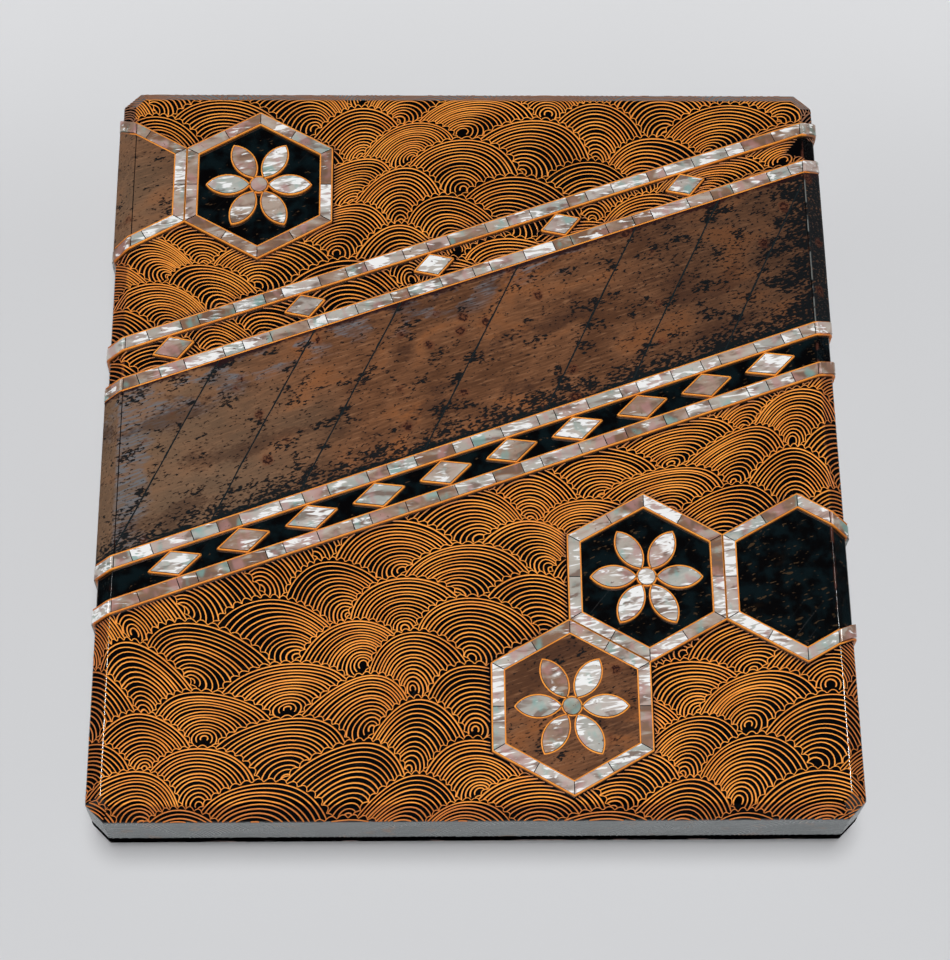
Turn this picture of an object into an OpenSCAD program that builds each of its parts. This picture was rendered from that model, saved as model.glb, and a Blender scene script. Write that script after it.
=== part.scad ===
// Lacquered writing box with cut corners: a lid that shuts flush on the base over a
// standing inner rim, an insert with the inkstone and the water dropper, and a lift-out
// tray of brushes. Millimetres, +Z up, +Y to the back, origin under the middle.

/* [Case] */
// Width of the closed box from side to side
box_w = 220; // [205:1:240]
// Depth of the closed box from front to back
box_d = 240; // [225:1:260]
// Leg of the cut taken off each upright corner
corner_cut = 5.2; // [4.8:0.1:7]
// Rounding of the long edges
edge_r = 0.9; // [0.5:0.1:1.2]

/* [Lid] */
// Height of the lid's upright side, up to the shoulder
lid_side_h = 16.2; // [15.5:0.1:20]
// How far the sloping bevel runs in over the shoulder
bevel_w = 4.6; // [4:0.1:6]
// How far the bevel rises from the shoulder to the top
bevel_h = 3.5; // [3:0.1:4.5]
// Thickness of the lid's upright sides
lid_wall = 3.2; // [2.6:0.1:3.4]
// Thickness of the lid's top board
lid_board = 3.6; // [3.2:0.1:4]

/* [Base] */
// Height of the foot that carries the box
foot_h = 2; // [1.5:0.1:4]
// Width of the foot's strip
foot_w = 5; // [3:0.5:8]
// How far the foot stands in from the edge of the underside
foot_set_in = 2; // [1:0.5:4]
// Slope under the base, as wide as it is high
under_bevel = 4.5; // [3.5:0.1:5]
// Thickness of the bottom board
floor_t = 4; // [3.4:0.1:4.4]
// Height of the base's upright band under the lid
band_h = 3.5; // [3:0.1:5]
// Thickness of the standing inner rim
riser_t = 2.2; // [1.8:0.1:2.6]
// Height of the inner rim over the ledge that the lid shuts on
riser_h = 11.5; // [8:0.1:12.5]

/* [Fits] */
// Gap between pieces that lift apart
gap = 0.3; // [0.2:0.05:0.35]

/* [Inlay] */
// Thickness of the mother-of-pearl above the lacquer
shell_t = 1; // [0.8:0.05:1.2]
// Thickness of the lead sheet above the lacquer
lead_t = 0.8; // [0.6:0.05:1]
// Slant of the lead sash across the lid
sash_angle = 20; // [16:1:22]
// Where the sash crosses the middle of the lid
sash_y = 24; // [16:1:28]
// Width of the lead sash
sash_w = 50; // [44:1:54]
// Width of the shell strips along the sash
strip_w = 3.5; // [3:0.1:4]
// Width of the channel between two strips
channel_w = 9; // [7:0.5:10]
// Usual length of a piece in a shell strip
shell_piece = 9; // [7:0.5:12]
// Joint between two inlaid pieces
joint = 0.25; // [0.15:0.05:0.4]
// Radius of a hexagon over its corners
hex_r = 26; // [22:0.5:27]
// Width of the shell frame of a hexagon
hex_frame = 3.2; // [2.6:0.1:3.6]
// Length of a flower's petal
petal_l = 13; // [10:0.5:14]
// Width of a flower's petal
petal_w = 6.5; // [5:0.5:7]

/* [Insert] */
// Thickness of the insert's upright walls
insert_wall = 2; // [1.6:0.1:2.2]
// Thickness of the insert's bottom
insert_floor = 1.8; // [1.4:0.1:2.2]
// Height of the insert
insert_h = 9.8; // [9:0.1:11]
// Width between the insert's two inner walls
deck_w = 86; // [82:0.5:90]
// Thickness of the deck with the two cut-outs
deck_t = 1.8; // [1.4:0.1:2.2]
// Width of the bead round a cut-out
bead_w = 1.8; // [1.2:0.1:2.4]
// Height of the bead round a cut-out
bead_h = 1.1; // [0.8:0.1:1.6]

/* [Inkstone] */
// Width of the stone
stone_w = 72; // [64:0.5:74]
// Length of the stone
stone_l = 128; // [116:1:130]
// Thickness of the stone
stone_t = 12.5; // [12:0.1:12.9]
// Corner radius of the stone
stone_r = 6; // [3:0.5:10]
// Width of the stone's rim
stone_rim = 5; // [4:0.5:7]
// Depth of the grinding face below the rim
land_depth = 1.2; // [0.8:0.1:1.6]
// Depth of the ink well below the rim
well_depth = 7.5; // [6.5:0.1:8.5]
// Length of the ink well
well_l = 34; // [28:1:40]

/* [Water dropper] */
// Side of the square dropper
dropper_w = 50; // [44:0.5:56]
// Height of the dropper's pan
dropper_h = 11.4; // [10:0.1:11.6]
// Thickness of the dropper's walls
dropper_wall = 1.2; // [0.8:0.1:1.5]
// Thickness of the dropper's top
dropper_top_t = 1; // [0.8:0.05:1.2]
// Radius of the air hole
air_hole_r = 1.3; // [1:0.1:2]
// Outer radius of the pouring tube
spout_r = 2.6; // [2.2:0.1:3.2]
// How far the pouring tube stands up
spout_h = 0.7; // [0.4:0.1:0.8]

/* [Brush tray] */
// Height of the tray
tray_h = 11; // [10:0.1:12]
// Thickness of the tray's walls
tray_wall = 2; // [1.6:0.1:2.4]
// Thickness of the tray's bottom
tray_floor = 1.8; // [1.4:0.1:2]
// Thickness of a brush rest along the tray
rest_t = 6; // [4:0.5:9]

/* [Brushes] */
// Radius of a brush's shaft
shaft_r = 4.2; // [3.5:0.1:4.5]
// Length of a brush's shaft, with the knob
shaft_l = 146; // [130:1:152]
// Length of the collar that holds the hair
collar_l = 12; // [9:0.5:15]
// Length of the hair outside the collar
hair_l = 30; // [24:1:34]
// Distance between the two brushes
brush_pitch = 24; // [18:0.5:28]

/* [Ink stick] */
// Width of the ink stick
ink_w = 18; // [14:0.5:20]
// Length of the ink stick
ink_l = 82; // [60:1:90]
// Thickness of the ink stick
ink_t = 9; // [7:0.5:10]

/* [Knife] */
// Width of the knife's handle
knife_w = 12; // [10:0.5:13]
// Thickness of the knife's handle
knife_t = 6.5; // [5.5:0.1:7]
// Length of the knife's handle
knife_l = 92; // [80:1:100]
// Length of the blade outside its collar
blade_l = 68; // [55:1:75]
// Thickness of the blade at its back
blade_t = 1.8; // [1.2:0.1:2.2]

/* [Awl] */
// Largest radius of the awl's handle
awl_r = 5; // [4:0.1:5.2]
// Length of the awl's handle
awl_l = 84; // [70:1:95]
// Length of the steel point outside the handle
point_l = 58; // [45:1:65]

/* [Hidden] */
$fn = 72;
arc_steps = 6;

// Heights of the case
base_z = foot_h;
floor_z = base_z + floor_t;
ledge_z = base_z + under_bevel + band_h;
riser_z = ledge_z + riser_h;
lid_z = ledge_z + gap;
shoulder_z = lid_z + lid_side_h;
lid_top = shoulder_z + bevel_h;
ceiling_z = lid_top - lid_board;

// How far each wall stands in from the outside of the case
riser_in = lid_wall + gap;
inner_in = riser_in + riser_t;
insert_in = inner_in + gap;
bay_in = insert_in + insert_wall;
foot_in = under_bevel + foot_set_in;

// Inlay
top_w = box_w - 2 * bevel_w;
top_d = box_d - 2 * bevel_w;
slope = norm([bevel_w, bevel_h]);
sash_half = sash_w / 2;
strip_1 = sash_half + joint;
strip_2 = strip_1 + strip_w + channel_w + 2 * joint;
sash_reach = box_w;
hex_side = hex_r * sqrt(3);
// Hexagons by their place in a honeycomb: columns to the right, rows to the back
comb_1 = [50, -48];
comb_2 = [-66, 84];
comb_joint = 0.6;
hexes = [comb_place(comb_1, 0, 0), comb_place(comb_1, 0, -1), comb_place(comb_1, 1, 0),
    comb_place(comb_2, 0, 0), comb_place(comb_2, -1, 0)];
leaded = [1, 4];
flowered = [0, 1, 3];
// Panels of the lead sash, and how far its slanting joints lean
panel_pitch = 34;
panel_lean = sash_w;
panel_odd = 5;
// Lozenges in the channels: long ones below the sash, short ones above
lozenge_pitch = 21;
lozenge_below = 15;
lozenge_above = 12;
lozenge_room = 0.8;
// Disc in the middle of a flower
heart_r = 2.6;
heart_joint = 0.5;

// Insert and what stands in it
insert_z = floor_z + gap;
bed_z = insert_z + insert_floor;
insert_top = insert_z + insert_h;
bay_x = deck_w / 2 + insert_wall;
bay_end = box_w / 2 - bay_in;
bay_half_d = box_d / 2 - bay_in;
stand_z = bed_z + gap;
deck_space = (2 * bay_half_d - stone_l - dropper_w) / 3;
stone_y = deck_space + stone_l / 2 - bay_half_d;
dropper_y = bay_half_d - deck_space - dropper_w / 2;
dropper_cut = 4;
stone_top = stand_z + stone_t;

// Brush tray
tray_x1 = bay_x + gap;
tray_x2 = bay_end - gap;
tray_mid = (tray_x1 + tray_x2) / 2;
tray_half_d = bay_half_d - gap;
tray_bed = stand_z + tray_floor;
brush_z = tray_bed + 1 + gap + shaft_r;
brush_hold = 0.4;
brush_y = -(shaft_l + collar_l + hair_l) / 2;
brush_neck_y = brush_y + hair_l + collar_l;
rest_ys = [brush_neck_y + 0.07 * shaft_l, brush_neck_y + 0.75 * shaft_l];

// Tools in the left bay
tool_z = bed_z + 1;
tool_hold = 2.6;
tool_collar = 7;
handle_y = -6;
knife_y = handle_y - tool_collar - blade_l;
awl_y = handle_y - tool_collar - point_l;
tool_space = 2.4;
knife_x = tool_space + knife_w / 2 - bay_end;
awl_x = knife_x + knife_w / 2 + tool_space + awl_r;
knife_z = tool_z + gap + knife_t / 2;
awl_z = bed_z + gap + awl_r;
awl_collar_r = 3.2;
tool_rest_ys = [handle_y + 0.16 * knife_l, handle_y + 0.67 * knife_l];
ink_x = -(bay_x + tool_space + ink_w / 2);
ink_y = 20;

function comb_place(origin, column, row) = let (pitch = hex_side + comb_joint)
    origin + [(column + (row % 2 == 0 ? 0 : 0.5)) * pitch * (row < 0 && row % 2 != 0 ? -1 : 1),
        row * pitch * sqrt(3) / 2];

// ---- Outlines ----

// The points of the fillet of radius r at corner q, between the neighbours p and s
function fillet(p, q, s, r) = r <= 0 ? [q] :
    let (u = (p - q) / norm(p - q), v = (s - q) / norm(s - q), half = acos(u * v) / 2,
        c = q + (u + v) / norm(u + v) * r / sin(half),
        a = q + u * r / tan(half) - c, b = q + v * r / tan(half) - c,
        start = atan2(a.y, a.x), turn = atan2(b.y, b.x) - start,
        sweep = turn > 180 ? turn - 360 : turn < -180 ? turn + 360 : turn)
    [for (i = [0:arc_steps]) let (t = start + sweep * i / arc_steps) c + r * [cos(t), sin(t)]];

function rounded(points, radii) = let (n = len(points))
    [for (i = [0:n - 1]) each fillet(points[(i + n - 1) % n], points[i], points[(i + 1) % n],
        radii[i])];

function rectangle(w, d) = [[-w, -d] / 2, [w, -d] / 2, [w, d] / 2, [-w, d] / 2];

// A rectangle with its four corners cut off
function cut_rectangle(w, d, cut) = let (x = w / 2, y = d / 2, c = max(cut, 0.2))
    [[-x + c, -y], [x - c, -y], [x, -y + c], [x, y - c],
        [x - c, y], [-x + c, y], [-x, y - c], [-x, -y + c]];

// The case's plan, drawn in by an even margin
module plan(margin) {
    polygon(cut_rectangle(box_w - 2 * margin, box_d - 2 * margin,
        corner_cut - margin * (2 - sqrt(2))));
}

module soft_rectangle(w, d, r) {
    polygon(rounded(rectangle(w, d), [r, r, r, r]));
}

// One upright section of a cut-corner body, drawn through
module through_section(half, levels, insets, radii, run) {
    n = len(levels);
    right = [for (i = [0:n - 1]) [half - insets[i], levels[i]]];
    left = [for (i = [n - 1:-1:0]) [insets[i] - half, levels[i]]];
    both = concat(radii, [for (i = [n - 1:-1:0]) radii[i]]);
    rotate([90, 0, 0]) linear_extrude(run, center = true) polygon(rounded(concat(right, left), both));
}

// A body with cut corners whose sections all follow the same levels and insets
module cut_corner_body(w, d, cut, levels, insets, radii) {
    corner_half = ((w + d) / 2 - cut) / sqrt(2);
    run = w + d;
    intersection() {
        through_section(w / 2, levels, insets, radii, run);
        rotate(90) through_section(d / 2, levels, insets, radii, run);
        rotate(45) through_section(corner_half, levels, insets, radii, run);
        rotate(-45) through_section(corner_half, levels, insets, radii, run);
    }
}

module ring(outer_in, inner_in, z0, z1) {
    translate([0, 0, z0]) linear_extrude(z1 - z0) difference() {
        plan(outer_in);
        plan(inner_in);
    }
}

// Lays a body that was turned about Z along the Y axis, its foot at x, y, z
module lay(x, y, z) {
    translate([x, y, z]) rotate([-90, 0, 0]) children();
}

// ---- Lid ----

// The lid's outer form, or the same form grown evenly by t
module lid_form(t = 0) {
    cut_corner_body(box_w, box_d, corner_cut,
        [lid_z, shoulder_z + t * (slope - bevel_h) / bevel_w, lid_top + t],
        [-t, -t, bevel_w - t * (slope - bevel_w) / bevel_h],
        [0, edge_r + t, edge_r + t]);
}

module lid_shell() {
    color("#2a1a12") difference() {
        lid_form();
        translate([0, 0, lid_z - 1]) linear_extrude(ceiling_z - lid_z + 1) plan(lid_wall);
    }
}

// ---- Inlay ----

// Plan of the lid's flat top, with half a joint kept off its edge
module top_window(margin) {
    polygon(cut_rectangle(top_w - 2 * margin, top_d - 2 * margin,
        corner_cut - (bevel_w + margin) * (2 - sqrt(2))));
}

// Flat pieces let into the top
module on_top(t) {
    translate([0, 0, lid_top]) linear_extrude(t) intersection() {
        children();
        top_window(joint / 2 + edge_r / 2);
    }
}

// The same outline carried over the bevel and down the sides, jointed at the shoulder
module over_edge(t) {
    difference() {
        intersection() {
            difference() {
                lid_form(t);
                lid_form();
            }
            translate([0, 0, lid_z]) linear_extrude(lid_top + 2 * t - lid_z) difference() {
                children();
                top_window(edge_r / 2 - joint / 2);
            }
        }
        translate([0, 0, shoulder_z - joint / 2]) linear_extrude(joint) plan(-2 * t);
    }
}

module along_sash() {
    translate([0, sash_y]) rotate(sash_angle) children();
}

// Where the i-th joint of a strip lies: pieces are cut a little long or short
function strip_joint(i, row) = (i + 0.22 * sin(i * 125 + row * 171)) * shell_piece;

module strip_pieces(v, row) {
    n = ceil(sash_reach / 2 / cos(sash_angle) / shell_piece) + 2;
    for (i = [-n:n - 1]) let (u0 = strip_joint(i, row), u1 = strip_joint(i + 1, row))
        translate([u0 + joint / 2, v]) square([u1 - u0 - joint, strip_w]);
}

strip_rows = [strip_1, strip_2, -strip_1 - strip_w, -strip_2 - strip_w];

module shell_strips() {
    color("#d9cfd2") {
        on_top(shell_t) along_sash() for (k = [0:3]) strip_pieces(strip_rows[k], k);
        over_edge(shell_t) along_sash() for (v = strip_rows)
            translate([-sash_reach, v]) square([2 * sash_reach, strip_w]);
    }
}

// Where the i-th joint of the sash crosses its middle: the panels are of uneven length
function panel_joint(i) = i * panel_pitch + panel_odd * sin(i * 97);

// Panels of the sash between slanting joints
module sash_panels() {
    lean = panel_lean / 2;
    n = ceil((sash_reach + panel_lean) / 2 / cos(sash_angle) / panel_pitch);
    for (i = [-n:n - 1]) let (a = panel_joint(i) + joint, b = panel_joint(i + 1))
        polygon([[a - lean, -sash_half], [b - lean, -sash_half], [b + lean, sash_half],
            [a + lean, sash_half]]);
}

module lead_sash() {
    color("#5a4638") {
        on_top(lead_t) along_sash() sash_panels();
        over_edge(lead_t) along_sash() square([2 * sash_reach, sash_w], center = true);
    }
}

// A lozenge as high as the channel has room for
module lozenge(w) {
    h = channel_w - 2 * lozenge_room;
    polygon([[-w / 2, 0], [0, -h / 2], [w / 2, 0], [0, h / 2]]);
}

// Lozenges in the two channels beside the sash
module shell_lozenges() {
    v = strip_1 + strip_w + joint + channel_w / 2;
    color("#cfc6cb") on_top(shell_t) along_sash() for (i = [-5:4]) {
        translate([i * lozenge_pitch, -v]) lozenge(lozenge_below);
        if (i % 2 == 0) translate([i * lozenge_pitch, v]) lozenge(lozenge_above);
    }
}

module hexagon(r) {
    rotate(30) circle(r = r, $fn = 6);
}

// One frame, in two pieces to a side
module hex_ring() {
    difference() {
        hexagon(hex_r);
        hexagon(hex_r - hex_frame / cos(30));
        for (i = [0:5]) rotate(i * 60) {
            translate([0, -joint / 2]) square([hex_r + 1, joint]);
            rotate(30) translate([0, -joint / 2]) square([hex_r + 1, joint]);
        }
    }
}

module shell_hexagons() {
    color("#ddd3d6") {
        on_top(shell_t) for (c = hexes) translate(c) hex_ring();
        over_edge(shell_t) for (c = hexes) translate(c) difference() {
            hexagon(hex_r);
            hexagon(hex_r - hex_frame / cos(30));
        }
    }
}

module lead_field() {
    hexagon(hex_r - hex_frame / cos(30) - joint);
}

module lead_hexagons() {
    color("#57473b") {
        on_top(lead_t) for (i = leaded) translate(hexes[i]) difference() {
            lead_field();
            if (len(search(i, flowered)) > 0) flower(joint);
        }
        over_edge(lead_t) for (i = leaded) translate(hexes[i]) lead_field();
    }
}

// Six leaf-shaped petals round a disc
module flower(grow) {
    chord = petal_l / 2;
    bow_r = (chord * chord + petal_w * petal_w / 4) / petal_w;
    circle(r = heart_r + grow);
    for (i = [0:5]) rotate(i * 60) translate([heart_r + heart_joint + chord, 0]) intersection() {
        translate([0, bow_r - petal_w / 2]) circle(r = bow_r + grow);
        translate([0, petal_w / 2 - bow_r]) circle(r = bow_r + grow);
    }
}

module shell_flowers() {
    color("#e2dade") on_top(shell_t) for (i = flowered) translate(hexes[i]) flower(0);
}

// ---- Base ----

module base_shell() {
    color("#2a1a12") difference() {
        cut_corner_body(box_w, box_d, corner_cut, [base_z, base_z + under_bevel, ledge_z],
            [under_bevel, 0, 0], [edge_r, edge_r, 0]);
        translate([0, 0, floor_z]) linear_extrude(ledge_z - floor_z + 1) plan(riser_in);
    }
}

module base_riser() {
    color("#3a2013") ring(riser_in, inner_in, floor_z, riser_z);
}

module base_foot() {
    color("#241610") ring(foot_in, foot_in + foot_w, 0, foot_h);
}

// ---- Insert ----

module insert_tray() {
    color("#30180f") difference() {
        translate([0, 0, insert_z]) linear_extrude(insert_h) plan(insert_in);
        translate([0, 0, bed_z]) linear_extrude(insert_h) {
            intersection() {
                plan(bay_in);
                union() {
                    square([deck_w, box_d], center = true);
                    for (side = [-1, 1]) translate([side * (bay_x + box_w / 2), 0])
                        square([box_w, box_d], center = true);
                }
            }
        }
    }
}

module stone_plan(margin) {
    translate([0, stone_y]) soft_rectangle(stone_w + 2 * margin, stone_l + 2 * margin,
        stone_r + margin);
}

module dropper_plan(margin) {
    side = dropper_w + 2 * margin;
    translate([0, dropper_y]) polygon(cut_rectangle(side, side,
        dropper_cut + margin * (2 - sqrt(2))));
}

module insert_deck() {
    color("#6d4a1e") translate([0, 0, insert_top - deck_t]) linear_extrude(deck_t) difference() {
        square([deck_w, 2 * bay_half_d], center = true);
        stone_plan(gap);
        dropper_plan(gap);
    }
}

module stone_bead() {
    color("#8a6526") translate([0, 0, insert_top]) linear_extrude(bead_h) difference() {
        stone_plan(gap + bead_w);
        stone_plan(gap);
    }
}

module dropper_bead() {
    color("#8a6526") translate([0, 0, insert_top]) linear_extrude(bead_h) difference() {
        dropper_plan(gap + bead_w);
        dropper_plan(gap);
    }
}

// A section of the knife's handle, grown by an even margin
module knife_section(margin) {
    soft_rectangle(knife_w + 2 * margin, knife_t + 2 * margin, knife_t / 2 + margin - 0.2);
}

// Turned handle of the awl: slim at its collar, t = 0, and at its butt, t = 1
function awl_profile(t) = let (slim = 0.62) awl_r * (slim + (1 - slim) * sin(180 * pow(t, 1.4)));

// The widest that the awl's handle is over a rest at y
function awl_over(y) = max(awl_profile((y - rest_t / 2 - handle_y) / awl_l),
    awl_profile((y + rest_t / 2 - handle_y) / awl_l));

module tool_rests() {
    rest_w = awl_x + awl_r + tool_space / 2 + bay_end;
    rest_h = tool_z + tool_hold - bed_z;
    color("#4a2a16") for (y = tool_rest_ys) difference() {
        translate([-bay_end, y - rest_t / 2, bed_z]) cube([rest_w, rest_t, rest_h]);
        translate([knife_x, y + rest_t, knife_z]) rotate([90, 0, 0])
            linear_extrude(2 * rest_t) knife_section(gap);
        translate([awl_x, y - rest_t, awl_z]) rotate([-90, 0, 0])
            cylinder(r = awl_over(y) + gap, h = 2 * rest_t);
    }
}

// ---- Brush tray ----

module brush_tray() {
    w = tray_x2 - tray_x1;
    d = 2 * tray_half_d;
    color("#2c1710") translate([tray_mid, 0, stand_z]) difference() {
        linear_extrude(tray_h) polygon(cut_rectangle(w, d, corner_cut / 3));
        translate([0, 0, tray_floor]) linear_extrude(tray_h)
            polygon(cut_rectangle(w - 2 * tray_wall, d - 2 * tray_wall, corner_cut / 3));
    }
}

function brush_x(k) = tray_mid + (k - 0.5) * brush_pitch;

module brush_rests() {
    w = tray_x2 - tray_x1 - 2 * tray_wall;
    h = brush_z + brush_hold - tray_bed;
    color("#4a2a16") for (y = rest_ys) difference() {
        translate([tray_mid - w / 2, y - rest_t / 2, tray_bed]) cube([w, rest_t, h]);
        for (k = [0:1]) translate([brush_x(k), y - rest_t, brush_z]) rotate([-90, 0, 0])
            cylinder(r = shaft_r + gap, h = 2 * rest_t);
    }
}

// ---- Inkstone ----

// A bar drawn across the stone whose round belly scoops out the well
module well_scoop(width) {
    drop = well_depth;
    r = (well_l * well_l / 4 + drop * drop) / (2 * drop);
    rotate([0, 90, 0]) translate([-r + drop, 0, 0]) cylinder(r = r, h = width, center = true);
}

module inkstone() {
    inner_w = stone_w - 2 * stone_rim;
    inner_l = stone_l - 2 * stone_rim;
    inner_r = max(stone_r - stone_rim, 2);
    color("#3b3a3c") difference() {
        translate([0, stone_y, stand_z]) intersection() {
            linear_extrude(stone_t) soft_rectangle(stone_w, stone_l, stone_r);
            rotate([90, 0, 0]) linear_extrude(stone_l, center = true)
                translate([0, stone_t / 2]) soft_rectangle(stone_w, stone_t, edge_r);
            rotate([90, 0, 90]) linear_extrude(stone_w, center = true)
                translate([0, stone_t / 2]) soft_rectangle(stone_l, stone_t, edge_r);
        }
        translate([0, stone_y, stone_top - land_depth]) linear_extrude(land_depth + 1)
            soft_rectangle(inner_w, inner_l, inner_r);
        intersection() {
            translate([0, stone_y + inner_l / 2 - well_l / 2, stone_top]) well_scoop(inner_w);
            translate([0, stone_y, stand_z]) linear_extrude(stone_t + 1)
                soft_rectangle(inner_w, inner_l, inner_r);
        }
    }
}

// ---- Water dropper ----

spout_in = 9;
spout_at = dropper_w / 2 - spout_in;

module dropper_pan() {
    color("#a9793f") translate([0, 0, stand_z]) difference() {
        linear_extrude(dropper_h) dropper_plan(0);
        translate([0, 0, dropper_wall]) linear_extrude(dropper_h) dropper_plan(-dropper_wall);
    }
}

module dropper_top() {
    color("#b5874a") difference() {
        translate([0, dropper_y, 0]) cut_corner_body(dropper_w, dropper_w, dropper_cut,
            [0, 0.5, 1] * dropper_top_t + [1, 1, 1] * (stand_z + dropper_h),
            [0, 0, dropper_top_t], [0, 0, 0]);
        translate([0, dropper_y, stand_z]) cylinder(r = air_hole_r, h = 2 * dropper_h);
        translate([spout_at, dropper_y - spout_at, stand_z]) cylinder(r = spout_r, h = 2 * dropper_h);
    }
}

module dropper_spout() {
    color("#8f6430") translate([spout_at, dropper_y - spout_at, stand_z + dropper_h]) difference() {
        cylinder(r = spout_r, h = dropper_top_t + spout_h);
        translate([0, 0, -1]) cylinder(r = spout_r / 2, h = dropper_top_t + spout_h + 2);
    }
}

// ---- Brushes ----

neck_r = shaft_r * 0.8;
ring_cut = 0.8;
knob_l = 5;
knob_y = shaft_l - knob_l;
knob_steps = 8;

// Bamboo shaft: a tenon in the collar, a turned groove and a round knob
module brush_shaft(k) {
    groove_y = knob_y - 5 * ring_cut;
    body_points = [[0, -collar_l / 2], [neck_r, -collar_l / 2], [neck_r, 0], [shaft_r, 0],
        [shaft_r, groove_y], [neck_r, groove_y + ring_cut], [neck_r, groove_y + 2 * ring_cut],
        [shaft_r, groove_y + 3 * ring_cut], [shaft_r, knob_y]];
    knob_points = [for (i = [1:knob_steps]) let (t = i * 90 / knob_steps)
        [shaft_r * cos(t), knob_y + knob_l * sin(t)]];
    color(["#7a2c18", "#20140f"][k]) lay(brush_x(k), brush_neck_y, brush_z)
        rotate_extrude() polygon(concat(body_points, knob_points));
}

module brush_collar(k) {
    collar_r = shaft_r + 0.15;
    color("#b08a4a") lay(brush_x(k), brush_y + hair_l, brush_z) rotate_extrude()
        polygon([[neck_r, 0], [collar_r - 0.4, 0], [collar_r, 0.6], [collar_r, collar_l],
            [neck_r, collar_l]]);
}

// The wetted hair: it swells a little outside the collar and draws to a point
function hair_radius(t) = neck_r * (1 + 0.24 * sin(180 * min(1, t * 1.7))) * pow(1 - t * t, 0.7);

module brush_hair(k) {
    steps = 14;
    color("#cbb391") lay(brush_x(k), brush_y, brush_z) rotate_extrude() polygon(concat(
        [[0, hair_l + collar_l / 2], [0, 0]],
        [for (i = [steps - 1:-1:0]) [hair_radius(i / steps), hair_l * (1 - i / steps)]],
        [[neck_r, hair_l + collar_l / 2]]));
}

// ---- Ink stick, knife and awl ----

module ink_stick() {
    color("#1c1c1f") translate([ink_x, ink_y, stand_z + ink_t / 2]) intersection() {
        rotate([90, 0, 0]) linear_extrude(ink_l, center = true) soft_rectangle(ink_w, ink_t, 1.6);
        translate([0, 0, -ink_t / 2]) linear_extrude(ink_t) soft_rectangle(ink_w, ink_l, 3);
    }
}

module knife_handle() {
    color("#5b3216") translate([knife_x, handle_y, knife_z]) intersection() {
        rotate([-90, 0, 0]) linear_extrude(knife_l) knife_section(0);
        translate([0, knife_l / 2, -knife_t]) linear_extrude(2 * knife_t)
            polygon(rounded(rectangle(knife_w, knife_l), [0.6, 0.6, 4, 4]));
    }
}

module knife_collar() {
    color("#b8913f") translate([knife_x, knife_y + blade_l, knife_z]) rotate([-90, 0, 0])
        linear_extrude(tool_collar) knife_section(-0.3);
}

// Blade with one straight and one bellied edge, ground down to the cutting edge
module knife_blade() {
    half = knife_w / 2 - 1.2;
    edge = 0.12;
    ground = -half * 0.2;
    outline = [[-half, 0], [-half, -blade_l * 0.72], [half, -blade_l], [half, 0]];
    color("#a9abad") translate([knife_x, knife_y + blade_l, knife_z]) intersection() {
        translate([0, 0, -blade_t]) linear_extrude(2 * blade_t)
            polygon(rounded(outline, [0, 12, 0.4, 0]));
        rotate([90, 0, 0]) linear_extrude(blade_l) polygon([[half, blade_t / 2],
            [ground, blade_t / 2], [-half, edge], [-half, -edge], [ground, -blade_t / 2],
            [half, -blade_t / 2]]);
    }
}

module awl_handle() {
    steps = 16;
    color("#6b3a18") lay(awl_x, handle_y, awl_z) rotate_extrude() polygon(concat(
        [[0, 0]], [for (i = [0:steps]) [awl_profile(i / steps), awl_l * i / steps]],
        [[awl_r * 0.4, awl_l + 1.6], [0, awl_l + 2]]));
}

module awl_collar() {
    color("#b8913f") lay(awl_x, awl_y + point_l, awl_z) rotate_extrude()
        polygon([[0, 0], [awl_collar_r - 1, 0], [awl_collar_r - 0.3, 1],
            [awl_collar_r, tool_collar], [0, tool_collar]]);
}

module awl_point() {
    color("#9fa2a5") lay(awl_x, awl_y, awl_z) cylinder(r1 = 0.25, r2 = 1.4, h = point_l);
}

lid_shell();
lead_sash();
shell_strips();
shell_lozenges();
shell_hexagons();
lead_hexagons();
shell_flowers();
base_shell();
base_riser();
base_foot();
insert_tray();
insert_deck();
stone_bead();
dropper_bead();
tool_rests();
brush_tray();
brush_rests();
inkstone();
dropper_pan();
dropper_top();
dropper_spout();
brush_shaft(0);  // brush_1_shaft
brush_collar(0);  // brush_1_collar
brush_hair(0);  // brush_1_hair
brush_shaft(1);  // brush_2_shaft
brush_collar(1);  // brush_2_collar
brush_hair(1);  // brush_2_hair
ink_stick();
knife_handle();
knife_collar();
knife_blade();
awl_handle();
awl_collar();
awl_point();
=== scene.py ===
import math
import random

import bmesh
import bpy
import numpy as np
from mathutils import Matrix, Vector


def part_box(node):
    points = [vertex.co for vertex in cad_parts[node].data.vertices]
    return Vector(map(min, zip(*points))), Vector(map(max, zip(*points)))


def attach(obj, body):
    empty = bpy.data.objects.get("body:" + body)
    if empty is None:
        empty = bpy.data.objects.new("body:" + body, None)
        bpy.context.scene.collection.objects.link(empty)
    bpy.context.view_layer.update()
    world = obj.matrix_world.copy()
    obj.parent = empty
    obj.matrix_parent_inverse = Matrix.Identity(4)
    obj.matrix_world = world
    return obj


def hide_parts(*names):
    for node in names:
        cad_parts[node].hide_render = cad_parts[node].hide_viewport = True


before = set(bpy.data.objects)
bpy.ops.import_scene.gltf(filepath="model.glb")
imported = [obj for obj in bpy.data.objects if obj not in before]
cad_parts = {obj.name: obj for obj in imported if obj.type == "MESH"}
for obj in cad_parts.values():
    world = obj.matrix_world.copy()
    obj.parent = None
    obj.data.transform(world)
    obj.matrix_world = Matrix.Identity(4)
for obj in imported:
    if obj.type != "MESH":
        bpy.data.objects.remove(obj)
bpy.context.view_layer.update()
mm = 0.001
scene = bpy.context.scene

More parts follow.
